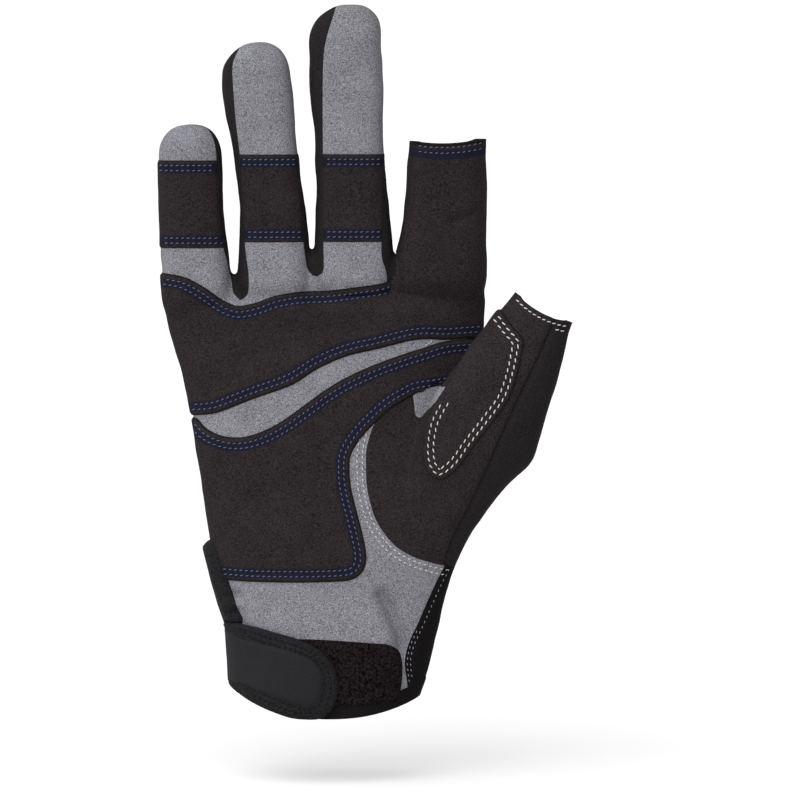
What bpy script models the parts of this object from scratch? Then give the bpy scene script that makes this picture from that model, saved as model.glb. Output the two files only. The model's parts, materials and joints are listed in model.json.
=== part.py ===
"""Sailing glove for the right hand, palm side facing -Y, fingers up along +Z, thumb towards +X.

Full little, ring and middle fingers; index finger and thumb are cut short and open.
Sizes are millimetres; MM turns them into metres where a mesh is made.
The origin is the centre of the wrist opening, at the lower edge of the cuff.
"""
import math

import bmesh
import bpy
from mathutils import Vector

MM = 0.001

# Fabric layers
FABRIC = 1.2
PAD = 1.2
LOOP_PILE = 1.2
HOOK_TAPE = 0.8
STRAP_WEB = 1.4
STRAP_COVER = 0.8
BINDING = 1.2
GAP = 0.4

# Hand: width, depth and height of the body of the glove
CUFF_WIDTH = 63.0
CUFF_LEAN = 1.6
CUFF_FRONT = 22.0
CUFF_BACK = 20.0
WRIST_HEIGHT = 30.0
WRIST_WIDTH = 68.5
WRIST_LEAN = 4.0
WRIST_FRONT = 20.5
WRIST_BACK = 18.0
HEEL_HEIGHT = 75.0
HEEL_WIDTH = 84.0
HEEL_LEAN = 1.0
HEEL_FRONT = 18.0
HEEL_BACK = 16.5
PALM_HEIGHT = 118.0
PALM_WIDTH = 101.0
PALM_LEAN = 1.0
PALM_FRONT = 14.5
PALM_BACK = 14.5
KNUCKLE_FRONT = 11.6
KNUCKLE_BACK = 12.0
HAND_SQUARENESS = 2.6

# Fingers stand side by side along the knuckle line, which starts here on the little finger's side
KNUCKLE_LEFT = -55.0
FINGER_GAP = 1.0
FINGER_SQUARENESS = 3.2
FINGER_CURL = 6.0
FINGER_FRONT = 10.6
FINGER_BACK = 10.6
FINGER_ORDER = ("pinky", "ring", "middle", "index")
FOOT_HEIGHT = {"pinky": 143.0, "ring": 147.0, "middle": 148.5, "index": 148.5}
FOOT_WIDTH = {"pinky": 23.6, "ring": 25.6, "middle": 26.4, "index": 30.2}
WAIST_WIDTH = {"pinky": 21.6, "ring": 22.0, "middle": 23.0, "index": 27.6}
HEAD_WIDTH = {"pinky": 21.2, "ring": 22.8, "middle": 24.6, "index": 25.8}
WAIST_SHIFT = {"pinky": -1.8, "ring": -2.0, "middle": -1.4, "index": 1.6}
HEAD_SHIFT = {"pinky": -2.2, "ring": -5.3, "middle": -2.7, "index": 2.4}
FINGER_LENGTH = {"pinky": 56.6, "ring": 80.2, "middle": 91.4, "index": 44.5}
HEAD_DEPTH = {"pinky": 16.0, "ring": 17.6, "middle": 18.4, "index": 19.6}
MIDDLE_FOLD = {"pinky": 26.0, "ring": 29.0, "middle": 31.0}
PATCH_START = {"pinky": 14.8, "ring": 12.8, "middle": 11.4}
PATCH_LENGTH = {"pinky": 29.6, "ring": 29.4, "middle": 29.4}
PATCH_MARGIN = 0.8
SIDE_STRIP = 9.0
WEB_WIDTH = 7.0
HEM = 5.0

# Thumb: measured down its own axis from the open tip
THUMB_TIP = (72.4, -29.0, 137.6)
THUMB_TILT = 27.8
THUMB_TIP_WIDTH = 21.0
THUMB_TIP_DEPTH = 16.0
THUMB_NECK = 20.0
THUMB_NECK_WIDTH = 29.0
THUMB_NECK_DEPTH = 21.0
THUMB_NECK_FORWARD = 27.0
THUMB_BALL = 41.0
THUMB_BALL_WIDTH = 35.5
THUMB_BALL_DEPTH = 25.0
THUMB_BALL_FORWARD = 22.0
THUMB_HEEL = 64.0
THUMB_HEEL_WIDTH = 31.0
THUMB_HEEL_DEPTH = 27.0
THUMB_HEEL_FORWARD = 11.0
THUMB_ROOT = 92.0
THUMB_ROOT_WIDTH = 18.0
THUMB_ROOT_DEPTH = 18.0
THUMB_ROOT_FORWARD = 5.0
THUMB_FOLD = 31.0

# Seams on the palm, as (x, z) points seen from the palm side
UPPER_PAD = (
    (-60, 151), (-47, 148), (-41, 145), (-34, 140), (-29.5, 138), (-23, 139.4), (-10, 143),
    (0, 143.4), (12, 145), (23, 146.4), (26, 148), (60, 148), (60, 126), (49, 128), (34, 127.4), (27, 126.6),
    (18, 124), (7.5, 121.3), (-2.4, 117), (-12, 111.2), (-24, 107.2), (-36, 102.5), (-60, 101),
)
LOWER_PAD = (
    (-60, 101), (-43, 100.6), (-39.5, 97), (-34, 94.8), (-28, 94.4), (-22, 96), (-15, 99.5), (-7.6, 104.5),
    (0, 110.5), (8, 114.6), (18, 119.3), (27, 122.6), (40, 126), (49, 126.4), (47, 116), (40, 110.4),
    (31, 109), (25, 106), (17.6, 99.5), (11.5, 92.8), (8.8, 88), (8.4, 83), (9.8, 75), (12.4, 63),
    (13.8, 56.4), (13.6, 52), (11, 48), (3.4, 46.4), (-14.5, 46), (-34, 46.4), (-60, 48),
)
THUMB_PANEL = (
    (29, 112), (23, 104), (16.5, 97.4), (14.4, 91), (13.8, 83.4), (14.2, 76), (16.2, 70), (19, 64.5),
    (23, 60.2), (27.6, 56.4), (33.4, 53.8), (43, 50.8), (60, 48), (90, 60), (90, 125), (45, 125),
)
THUMB_SEAM = (
    (75.5, 130), (72.2, 123.4), (63, 103.6), (52.8, 80.4), (43.8, 61.2), (40, 50), (90, 40), (110, 130),
)
THUMB_PATCH = (
    (54, 140), (58.2, 137.2), (63.2, 131), (66.6, 127.8), (66.2, 124), (65.2, 117.6), (63.2, 111.6),
    (60.4, 106.6), (55, 99.2), (49, 89.8), (44.4, 84.8), (41, 81.4), (38.3, 80.6), (35.6, 82.4), (33.6, 86),
    (33.6, 92.4), (34.3, 99), (36, 104), (36, 110), (42, 128),
)
SIDE_PANEL = (
    (39, 48.6), (36.4, 42.8), (32.4, 33.6), (29.2, 27.6), (27.6, 22), (28.6, 11.4), (28, -5), (60, -5),
    (60, 45),
)
LOOP_PATCH = ((-22, 25.4), (20.4, 25.2), (24.6, 22.6), (26, 18), (25.4, 8), (-22, 8))
STRAP_BAND = (
    (-60, 37), (-34, 34), (-27, 33.4), (-17, 30.4), (-6.4, 27), (-0.4, 22.6), (3, 17), (4.6, 12), (4, 6),
    (1.4, 1.4), (-3, -0.2), (-10, 0), (-18.5, 4), (-27, 8.4), (-32, 13), (-60, 16),
)
STRAP_FIELD = (
    (-28, 30.4), (-23.4, 27.6), (-8, 22.6), (-3, 18.6), (-1, 13.6), (-1.6, 8.4), (-4.8, 6), (-10.8, 7),
    (-23.4, 12), (-28, 14.2),
)
STRAP_BASE = ((-60, 59), (-39, 57), (-30, 52), (-14, 47), (0, 44), (0, 14), (-20, 12), (-60, 12))
STRAP_HINGE_FORWARD = 3.0
STRAP_COVER_START = 7.0
HOOK_MARGIN = 2.0
PAD_FOOT = 45.0
CUFF_TAPE = 6.0
ELASTIC_HEIGHT = 34.0
ELASTIC_TAPE = 8.0

RING_POINTS = 20
FAR = 400.0
OVERRUN = 5.0

GLOVE = "sailing_glove"
CUTTERS = "sailing_glove_cutters"


def start_clean():
    for old in list(bpy.data.objects):
        bpy.data.objects.remove(old, do_unlink=True)
    for name in (GLOVE, CUTTERS):
        bpy.context.scene.collection.children.link(bpy.data.collections.new(name))


def material(name, colour, roughness):
    made = bpy.data.materials.new(name)
    made.use_nodes = True
    shader = made.node_tree.nodes["Principled BSDF"]
    shader.inputs["Base Color"].default_value = (*colour, 1.0)
    shader.inputs["Roughness"].default_value = roughness
    return made


def mesh_object(name, bm, collection):
    bmesh.ops.recalc_face_normals(bm, faces=bm.faces)
    mesh = bpy.data.meshes.new(name)
    bm.to_mesh(mesh)
    bm.free()
    made = bpy.data.objects.new(name, mesh)
    bpy.data.collections[collection].objects.link(made)
    if collection == CUTTERS:
        made.hide_render = True
        made.display_type = "WIRE"
    return made


def loft(name, rings):
    """Closed solid through a row of rings that have the same number of points."""
    bm = bmesh.new()
    loops = [[bm.verts.new(Vector(p) * MM) for p in ring] for ring in rings]
    for low, high in zip(loops, loops[1:]):
        for i in range(len(low)):
            j = (i + 1) % len(low)
            bm.faces.new((low[i], low[j], high[j], high[i]))
    bm.faces.new(list(reversed(loops[0])))
    bm.faces.new(loops[-1])
    return mesh_object(name, bm, CUTTERS)


def prism(name, outline, near=-FAR, far=FAR):
    """Solid with an (x, z) outline, running along Y from near to far."""
    bm = bmesh.new()
    corners = [bm.verts.new(Vector((x, near, z)) * MM) for x, z in outline]
    face = bm.faces.new(corners)
    grown = bmesh.ops.extrude_face_region(bm, geom=[face])["geom"]
    moved = [v for v in grown if isinstance(v, bmesh.types.BMVert)]
    bmesh.ops.translate(bm, verts=moved, vec=Vector((0, far - near, 0)) * MM)
    return mesh_object(name, bm, CUTTERS)


def block(name, low, high):
    bm = bmesh.new()
    bmesh.ops.create_cube(bm, size=1.0)
    low = Vector(low)
    high = Vector(high)
    for v in bm.verts:
        v.co = Vector([low[k] + (v.co[k] + 0.5) * (high[k] - low[k]) for k in range(3)]) * MM
    return mesh_object(name, bm, CUTTERS)


def inset(outline, distance):
    """The outline moved inwards by a distance, for a piece that stops short of its seam."""
    turn = sum(a[0] * b[1] - b[0] * a[1] for a, b in zip(outline, outline[1:] + outline[:1]))
    side = 1.0 if turn > 0 else -1.0
    moved = []
    for before, here, after in zip(outline[-1:] + outline[:-1], outline, outline[1:] + outline[:1]):
        first = Vector((here[0] - before[0], here[1] - before[1])).normalized()
        second = Vector((after[0] - here[0], after[1] - here[1])).normalized()
        lean = first + second
        normal = Vector((-lean.y, lean.x)).normalized() * side
        stretch = max(0.4, normal.dot(Vector((-first.y, first.x)) * side))
        moved.append((here[0] + normal.x * distance / stretch, here[1] + normal.y * distance / stretch))
    return tuple(moved)


def carve(made, cutter, operation):
    cut = made.modifiers.new(operation.lower(), "BOOLEAN")
    cut.operation = operation
    cut.object = cutter
    cut.solver = "EXACT"


def settled(made):
    """The object with its cuts worked into its own mesh."""
    bpy.context.view_layer.update()
    graph = bpy.context.evaluated_depsgraph_get()
    mesh = bpy.data.meshes.new_from_object(made.evaluated_get(graph))
    made.modifiers.clear()
    made.data = mesh
    return made


def piece(name, source, cuts, look):
    """One named piece of the glove: a copy of a layer, kept inside or cleared of other shapes."""
    made = bpy.data.objects.new(name, source.data.copy())
    bpy.data.collections[GLOVE].objects.link(made)
    made.data.name = name
    for operation, cutter in cuts:
        carve(made, cutter, operation)
    settled(made)
    bm = bmesh.new()
    bm.from_mesh(made.data)
    bmesh.ops.remove_doubles(bm, verts=bm.verts, dist=0.00002)
    bm.to_mesh(made.data)
    bm.free()
    made.data.materials.clear()
    made.data.materials.append(look)
    return made


def solid(name, source, cuts):
    """A helper shape made from another one with cuts worked in."""
    made = bpy.data.objects.new(name, source.data.copy())
    bpy.data.collections[CUTTERS].objects.link(made)
    made.hide_render = True
    made.display_type = "WIRE"
    for operation, cutter in cuts:
        carve(made, cutter, operation)
    return settled(made)


def oval(centre, across, deep, half_width, half_depth, squareness):
    """Ring of points round a squared oval."""
    ring = []
    for i in range(RING_POINTS):
        angle = 2 * math.pi * (i + 0.5) / RING_POINTS
        c = math.cos(angle)
        s = math.sin(angle)
        u = math.copysign(abs(c) ** (2 / squareness), c) * half_width
        v = math.copysign(abs(s) ** (2 / squareness), s) * half_depth
        ring.append(Vector(centre) + Vector(across) * u + Vector(deep) * v)
    return ring


X = Vector((1, 0, 0))
Y = Vector((0, 1, 0))


def finger_left(name):
    place = KNUCKLE_LEFT
    for other in FINGER_ORDER[:FINGER_ORDER.index(name)]:
        place += FOOT_WIDTH[other] + FINGER_GAP
    return place


def finger_foot(name):
    return finger_left(name) + FOOT_WIDTH[name] / 2


def finger_section(name, up):
    """Centre x, width, front and back of a finger at a height above its foot."""
    share = up / FINGER_LENGTH[name]
    if share < 0.5:
        t = max(share, 0.0) / 0.5
        width = FOOT_WIDTH[name] + (WAIST_WIDTH[name] - FOOT_WIDTH[name]) * t
        shift = WAIST_SHIFT[name] * t
    else:
        t = min((share - 0.5) / 0.5, 1.0)
        width = WAIST_WIDTH[name] + (HEAD_WIDTH[name] - WAIST_WIDTH[name]) * t
        shift = WAIST_SHIFT[name] + (HEAD_SHIFT[name] - WAIST_SHIFT[name]) * t
    share = min(max(share, 0.0), 1.0)
    curl = FINGER_CURL * share * share * FINGER_LENGTH[name] / FINGER_LENGTH["middle"]
    front = FINGER_FRONT + (HEAD_DEPTH[name] / 2 - FINGER_FRONT) * share
    back = FINGER_BACK + (HEAD_DEPTH[name] / 2 - FINGER_BACK) * share
    return finger_foot(name) + shift, width, -front - curl, back - curl


def finger_ring(name, up, grow, shrink=1.0):
    centre, width, front, back = finger_section(name, up)
    half_width = (width / 2 + grow) * shrink
    half_depth = ((back - front) / 2 + grow) * shrink
    middle = (centre, (front + back) / 2, FOOT_HEIGHT[name] + up)
    return oval(middle, X, Y, half_width, half_depth, FINGER_SQUARENESS)


def finger_loft(name, grow, below=0.0, above=0.0):
    """Finger solid: a closed dome at the tip, or an open cut end that runs on above it."""
    length = FINGER_LENGTH[name]
    if name == "index":
        heights = [-below, 0.0, length * 0.33, length * 0.66, length, length + above]
        heights = sorted(set(heights))
        return loft(f"{name}_body", [finger_ring(name, h, grow) for h in heights])
    dome = HEAD_WIDTH[name] / 2
    rings = [-below, 0.0, length * 0.25, length * 0.5, length * 0.7, length - dome]
    made = [finger_ring(name, h, grow) for h in sorted(set(rings))]
    for angle in (28, 52, 70, 83):
        turn = math.radians(angle)
        up = length - dome + (dome + grow) * math.sin(turn)
        made.append(finger_ring(name, up, grow, math.cos(turn)))
    return loft(f"{name}_body", made)


def hand_loft(grow, below=0.0):
    left = KNUCKLE_LEFT
    right = finger_left("index") + FOOT_WIDTH["index"]
    top = max(FOOT_HEIGHT.values())
    middle = (left + right) / 2
    stations = [
        (0.0, CUFF_LEAN, CUFF_WIDTH, CUFF_FRONT, CUFF_BACK),
        (WRIST_HEIGHT, WRIST_LEAN, WRIST_WIDTH, WRIST_FRONT, WRIST_BACK),
        ((WRIST_HEIGHT + HEEL_HEIGHT) / 2, (WRIST_LEAN + HEEL_LEAN) / 2, (WRIST_WIDTH + HEEL_WIDTH) / 2,
         (WRIST_FRONT + HEEL_FRONT) / 2, (WRIST_BACK + HEEL_BACK) / 2),
        (HEEL_HEIGHT, HEEL_LEAN, HEEL_WIDTH, HEEL_FRONT, HEEL_BACK),
        (PALM_HEIGHT, PALM_LEAN, PALM_WIDTH, PALM_FRONT, PALM_BACK),
        (top - 8, middle, right - left, KNUCKLE_FRONT, KNUCKLE_BACK),
        (top + 4, middle, right - left, FINGER_FRONT, FINGER_BACK),
    ]
    if below:
        stations.insert(0, (-below, CUFF_LEAN, CUFF_WIDTH, CUFF_FRONT, CUFF_BACK))
    rings = []
    for height, centre, width, front, back in stations:
        place = (centre, (back - front) / 2, height)
        rings.append(oval(place, X, Y, width / 2 + grow, (front + back) / 2 + grow, HAND_SQUARENESS))
    return loft("hand_body", rings)


TILT = math.radians(THUMB_TILT)
THUMB_UP = Vector((math.sin(TILT), 0, math.cos(TILT)))
THUMB_ACROSS = Vector((math.cos(TILT), 0, -math.sin(TILT)))


def thumb_centre(down, forward):
    place = Vector(THUMB_TIP) - THUMB_UP * down
    place.y = -forward
    return place


def thumb_loft(grow, above=0.0):
    stations = [
        (0.0, THUMB_TIP_WIDTH, THUMB_TIP_DEPTH, -THUMB_TIP[1]),
        (THUMB_NECK, THUMB_NECK_WIDTH, THUMB_NECK_DEPTH, THUMB_NECK_FORWARD),
        (THUMB_BALL, THUMB_BALL_WIDTH, THUMB_BALL_DEPTH, THUMB_BALL_FORWARD),
        (THUMB_HEEL, THUMB_HEEL_WIDTH, THUMB_HEEL_DEPTH, THUMB_HEEL_FORWARD),
        (THUMB_ROOT, THUMB_ROOT_WIDTH, THUMB_ROOT_DEPTH, THUMB_ROOT_FORWARD),
    ]
    if above:
        stations.insert(0, (-above, THUMB_TIP_WIDTH, THUMB_TIP_DEPTH, -THUMB_TIP[1]))
    rings = []
    for down, width, depth, forward in stations:
        centre = thumb_centre(down, forward)
        rings.append(oval(centre, THUMB_ACROSS, Y, width / 2 + grow, depth / 2 + grow, HAND_SQUARENESS))
    return loft("thumb_body", rings)


def thumb_side(name, start, end):
    """Box across the thumb between two distances down its axis."""
    bm = bmesh.new()
    bmesh.ops.create_cube(bm, size=1.0)
    for v in bm.verts:
        down = start if v.co.z > 0 else end
        place = thumb_centre(down, 0.0) + (THUMB_ACROSS * v.co.x + Y * v.co.y) * FAR
        v.co = place * MM
    return mesh_object(name, bm, CUTTERS)


def slab(name, low_z, high_z):
    return block(name, (-FAR, -FAR, low_z), (FAR, FAR, high_z))


def layer(name, make, inner, outer):
    """Shell of a body between two distances from its surface."""
    return solid(name, make(outer), [("DIFFERENCE", make(inner))])


def build_finger(name, looks):
    foot = FOOT_HEIGHT[name]
    length = FINGER_LENGTH[name]
    fabric = solid(f"{name}_fabric", finger_loft(name, 0.0, 0.0, 0.0),
                   [("DIFFERENCE", finger_loft(name, -FABRIC, OVERRUN, OVERRUN))])
    half = SIDE_STRIP / 2
    middle = -FINGER_CURL * 0.3 * length / FINGER_LENGTH["middle"]
    centre = finger_foot(name)
    front = block(f"{name}_front_side", (-FAR, -FAR, 0), (FAR, middle - half - GAP / 2, FAR))
    back = block(f"{name}_back_side", (-FAR, middle + half + GAP / 2, 0), (FAR, FAR, FAR))
    sides = block(f"{name}_strip", (-FAR, middle - half + GAP / 2, 0), (FAR, middle + half - GAP / 2, FAR))
    left = block(f"{name}_left_half", (-FAR, -FAR, 0), (centre + WAIST_SHIFT[name], FAR, FAR))
    right = block(f"{name}_right_half", (centre + WAIST_SHIFT[name], -FAR, 0), (FAR, FAR, FAR))
    fold = foot + MIDDLE_FOLD.get(name, length)
    low = slab(f"{name}_low", foot + GAP / 2, fold - (GAP / 2 if name in MIDDLE_FOLD else -FAR))
    keep = "INTERSECT"
    front_look = looks["black"] if name == "index" else looks["suede"]
    piece(f"{name}_front_lower", fabric, [(keep, front), (keep, low)], front_look)
    piece(f"{name}_back_lower", fabric, [(keep, back), (keep, low)], looks["stretch"])
    piece(f"{name}_side_lower_left", fabric, [(keep, sides), (keep, low), (keep, left)], looks["stretch"])
    piece(f"{name}_side_lower_right", fabric, [(keep, sides), (keep, low), (keep, right)], looks["stretch"])
    if name == "index":
        hem = solid("index_hem_body", finger_loft(name, -FABRIC - GAP, 0.0, 0.0),
                    [("DIFFERENCE", finger_loft(name, -2 * FABRIC - GAP, OVERRUN, OVERRUN))])
        piece("index_hem", hem, [(keep, slab("index_hem_band", foot + length - HEM, FAR))], looks["stretch"])
        return
    high = slab(f"{name}_high", fold + GAP / 2, FAR)
    piece(f"{name}_front_upper", fabric, [(keep, front), (keep, high)], looks["suede"])
    piece(f"{name}_back_upper", fabric, [(keep, back), (keep, high)], looks["stretch"])
    piece(f"{name}_side_upper", fabric, [(keep, sides), (keep, high)], looks["stretch"])
    pad = layer(f"{name}_pad_layer", lambda grow: finger_loft(name, grow), GAP, GAP + PAD)
    start = foot + PATCH_START[name]
    patch_low = slab(f"{name}_patch_low", start, fold - GAP / 2)
    patch_high = slab(f"{name}_patch_high", fold + GAP / 2, start + PATCH_LENGTH[name])
    reach = WAIST_WIDTH[name] / 2 - PATCH_MARGIN
    across = centre + WAIST_SHIFT[name]
    face = block(f"{name}_patch_face", (across - reach, -FAR, 0), (across + reach, middle - half - GAP, FAR))
    piece(f"{name}_patch_lower", pad, [(keep, face), (keep, patch_low)], looks["black"])
    piece(f"{name}_patch_upper", pad, [(keep, face), (keep, patch_high)], looks["black"])


def knuckle_steps(drop):
    """Outline of everything above the line where the fingers stand on the hand."""
    outline = []
    for name in FINGER_ORDER:
        low = -FAR if name == "pinky" else finger_left(name) - FINGER_GAP / 3
        high = FAR if name == "index" else finger_left(name) + FOOT_WIDTH[name] + FINGER_GAP / 3
        outline += [(low, FOOT_HEIGHT[name] - drop), (high, FOOT_HEIGHT[name] - drop)]
    steps = [p for p, q in zip(outline, outline[1:] + [None]) if p != q]
    return tuple(steps) + ((FAR, FAR), (-FAR, FAR))


def build_hand(looks):
    keep = "INTERSECT"
    drop = "DIFFERENCE"
    low_thumb = thumb_side("thumb_low_side", THUMB_FOLD + GAP / 2, FAR)
    high_thumb = thumb_side("thumb_high_side", -FAR, THUMB_FOLD - GAP / 2)

    def body(grow, below=0.0):
        thumb = solid("thumb_low", thumb_loft(grow), [(keep, low_thumb)])
        return solid("hand_and_thumb", hand_loft(grow, below), [("UNION", thumb)])

    inner_thumb = solid("thumb_hollow", thumb_loft(-FABRIC, OVERRUN), [])
    hollow = solid("hand_hollow", hand_loft(-FABRIC, OVERRUN), [("UNION", inner_thumb)])
    fabric = solid("hand_fabric", body(0.0), [(drop, hollow)])
    carve(fabric, prism("finger_seats", knuckle_steps(GAP / 2)), drop)
    settled(fabric)
    front = block("hand_front", (-FAR, -FAR, -FAR), (FAR, -GAP / 2, FAR))
    back = block("hand_back", (-FAR, GAP / 2, -FAR), (FAR, FAR, FAR))
    panel_in = prism("thumb_panel_in", inset(THUMB_PANEL, GAP / 2))
    panel_out = prism("thumb_panel_out", inset(THUMB_PANEL, -GAP / 2))
    seam_in = prism("thumb_seam_in", inset(THUMB_SEAM, GAP / 2))
    seam_out = prism("thumb_seam_out", inset(THUMB_SEAM, -GAP / 2))
    side_in = prism("side_panel_in", inset(SIDE_PANEL, GAP / 2))
    side_out = prism("side_panel_out", inset(SIDE_PANEL, -GAP / 2))
    piece("palm_suede", fabric, [(keep, front), (drop, panel_out), (drop, side_out)], looks["suede"])
    piece("wrist_side_panel", fabric, [(keep, front), (keep, side_in), (drop, panel_out)], looks["stretch"])
    piece("thumb_gusset", fabric, [(keep, front), (keep, panel_in), (drop, seam_out)], looks["black"])
    piece("thumb_outer", fabric, [(keep, front), (keep, panel_in), (keep, seam_in)], looks["stretch"])
    piece("back_panel", fabric, [(keep, back)], looks["stretch"])

    thumb_clear = thumb_loft(2 * GAP + PAD)
    pad_layer = layer("palm_pad_layer", hand_loft, GAP, GAP + PAD)
    pad_stop = prism("pad_stop", knuckle_steps(GAP))
    upper = prism("upper_pad_outline", inset(UPPER_PAD, GAP / 2))
    lower = prism("lower_pad_outline", inset(LOWER_PAD, GAP / 2))
    piece("palm_pad_upper", pad_layer, [(keep, front), (keep, upper), (drop, thumb_clear), (drop, pad_stop)],
          looks["black"])
    piece("palm_pad_lower", pad_layer, [(keep, front), (keep, lower), (drop, thumb_clear)], looks["black"])

    thumb_fabric = layer(
        "thumb_fabric", lambda grow: thumb_loft(grow, OVERRUN if grow else 0.0), -FABRIC, 0.0)
    piece("thumb_front", thumb_fabric, [(keep, high_thumb), (drop, seam_out)], looks["black"])
    piece("thumb_back", thumb_fabric, [(keep, high_thumb), (keep, seam_in)], looks["stretch"])
    hem_body = solid("thumb_hem_body", thumb_loft(-FABRIC - GAP),
                     [(drop, thumb_loft(-2 * FABRIC - GAP, OVERRUN))])
    piece("thumb_hem", hem_body, [(keep, thumb_side("thumb_hem_band", -FAR, HEM))], looks["stretch"])
    patch_layer = layer("thumb_patch_layer", thumb_loft, GAP, GAP + PAD)
    palm_side = prism("thumb_palm_side", THUMB_PATCH, -FAR, -THUMB_BALL_FORWARD)
    hand_clear = hand_loft(2 * GAP + PAD)
    piece("thumb_patch_upper", patch_layer, [(keep, palm_side), (keep, high_thumb)], looks["black"])
    piece("thumb_patch_lower", patch_layer,
          [(keep, palm_side), (keep, low_thumb), (drop, hand_clear)], looks["black"])

    for first, second in zip(FINGER_ORDER, FINGER_ORDER[1:]):
        crotch = finger_left(second) - FINGER_GAP / 2
        top = min(FOOT_HEIGHT[first], FOOT_HEIGHT[second]) - GAP
        depth = min(KNUCKLE_FRONT, FINGER_FRONT) - FABRIC - 2.2
        web = block(f"{first}_{second}_web_body", (crotch - WEB_WIDTH / 2, -depth, top - FABRIC),
                    (crotch + WEB_WIDTH / 2, depth, top))
        piece(f"web_{first}_{second}", web, [], looks["stretch"])

    binding = layer("cuff_binding_layer", hand_loft, GAP, GAP + BINDING)
    piece("cuff_binding", binding, [(keep, slab("cuff_binding_band", 0.0, CUFF_TAPE))], looks["stretch"])
    tape = layer("elastic_layer", hand_loft, -2 * FABRIC - GAP, -FABRIC - GAP)
    high_band = slab("elastic_band", ELASTIC_HEIGHT - ELASTIC_TAPE / 2, ELASTIC_HEIGHT + ELASTIC_TAPE / 2)
    little_side = block("elastic_side", (-FAR, -FAR, -FAR), (0, 0, FAR))
    piece("wrist_elastic", tape, [(keep, high_band), (keep, little_side)], looks["stretch"])
    return front


def build_strap(looks, front):
    keep = "INTERSECT"
    loop_top = GAP + LOOP_PILE
    hook_top = loop_top + GAP + HOOK_TAPE
    web_top = hook_top + GAP + STRAP_WEB
    binding_top = slab("loop_clear_of_binding", CUFF_TAPE + GAP, FAR)
    loop = layer("loop_layer", hand_loft, GAP, loop_top)
    piece("loop_patch", loop, [(keep, front), (keep, prism("loop_outline", LOOP_PATCH)), (keep, binding_top)],
          looks["loop"])
    fore = block("strap_fore", (-FAR, -FAR, -FAR), (FAR, -STRAP_HINGE_FORWARD - GAP / 2, FAR))
    rear = block("strap_rear", (-FAR, -STRAP_HINGE_FORWARD + GAP / 2, -FAR), (FAR, FAR, FAR))
    hook = layer("hook_layer", lambda grow: hand_loft(grow, OVERRUN), loop_top + GAP, hook_top)
    hook_cut = prism("hook_outline", inset(STRAP_BAND, HOOK_MARGIN), -FAR, -CUFF_FRONT / 2)
    piece("strap_hook", hook, [(keep, hook_cut), (keep, slab("hook_above", 2.0, FAR))], looks["loop"])
    web = layer("strap_layer", lambda grow: hand_loft(grow, OVERRUN), hook_top + GAP, web_top)
    piece("strap_band", web, [(keep, fore), (keep, prism("strap_outline", STRAP_BAND))], looks["stretch"])
    cover_low = web_top + GAP
    cover = layer("cover_layer", lambda grow: hand_loft(grow, OVERRUN), cover_low, cover_low + STRAP_COVER)
    field = prism("cover_outline", STRAP_FIELD, -FAR, -STRAP_HINGE_FORWARD - STRAP_COVER_START)
    piece("strap_cover", cover, [(keep, field)], looks["cover"])
    base = layer("strap_base_layer", lambda grow: hand_loft(grow, OVERRUN), GAP, web_top)
    beside_pad = block("strap_beside_pad", (-FAR, -FAR, PAD_FOOT - GAP), (FAR, GAP, FAR))
    piece("strap_base", base,
          [(keep, rear), (keep, prism("strap_base_outline", STRAP_BASE)), ("DIFFERENCE", beside_pad)],
          looks["stretch"])


def main():
    start_clean()
    looks = {
        "suede": material("grey_suede", (0.26, 0.25, 0.28), 0.95),
        "black": material("black_suede", (0.025, 0.02, 0.021), 0.9),
        "stretch": material("black_stretch", (0.018, 0.016, 0.017), 0.85),
        "loop": material("loop_pile", (0.01, 0.008, 0.009), 1.0),
        "cover": material("strap_cover", (0.033, 0.032, 0.038), 0.6),
    }
    for name in FINGER_ORDER:
        build_finger(name, looks)
    front = build_hand(looks)
    build_strap(looks, front)


main()
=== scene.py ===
"""The look of a right-hand sailing glove, palm side facing -Y, fingers up along +Z, thumb towards +X.

Shapes are worked out in millimetres and turned into metres when a mesh is made.
"""
import json
import math

import bmesh
import bpy
import numpy as np
from mathutils import Matrix, Vector, noise
from mathutils.bvhtree import BVHTree

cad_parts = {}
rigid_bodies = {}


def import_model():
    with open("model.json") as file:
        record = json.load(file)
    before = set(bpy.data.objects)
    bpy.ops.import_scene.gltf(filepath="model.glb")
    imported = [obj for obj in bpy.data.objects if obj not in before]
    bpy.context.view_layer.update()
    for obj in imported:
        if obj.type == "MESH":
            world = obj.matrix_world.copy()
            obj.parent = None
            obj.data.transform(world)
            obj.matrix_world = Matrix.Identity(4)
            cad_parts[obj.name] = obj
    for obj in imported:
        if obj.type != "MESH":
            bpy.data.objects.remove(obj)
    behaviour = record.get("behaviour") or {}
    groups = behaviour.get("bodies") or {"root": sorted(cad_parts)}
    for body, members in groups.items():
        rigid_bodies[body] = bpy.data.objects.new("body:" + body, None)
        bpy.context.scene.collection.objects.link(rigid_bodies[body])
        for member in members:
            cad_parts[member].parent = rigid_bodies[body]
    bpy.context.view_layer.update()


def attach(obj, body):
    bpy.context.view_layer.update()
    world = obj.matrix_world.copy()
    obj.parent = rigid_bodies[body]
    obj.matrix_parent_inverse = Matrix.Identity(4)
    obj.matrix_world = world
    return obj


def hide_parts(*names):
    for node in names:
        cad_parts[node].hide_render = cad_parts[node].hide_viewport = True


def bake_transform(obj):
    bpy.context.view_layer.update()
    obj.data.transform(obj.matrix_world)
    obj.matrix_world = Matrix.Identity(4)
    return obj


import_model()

MM = 0.001

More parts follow.
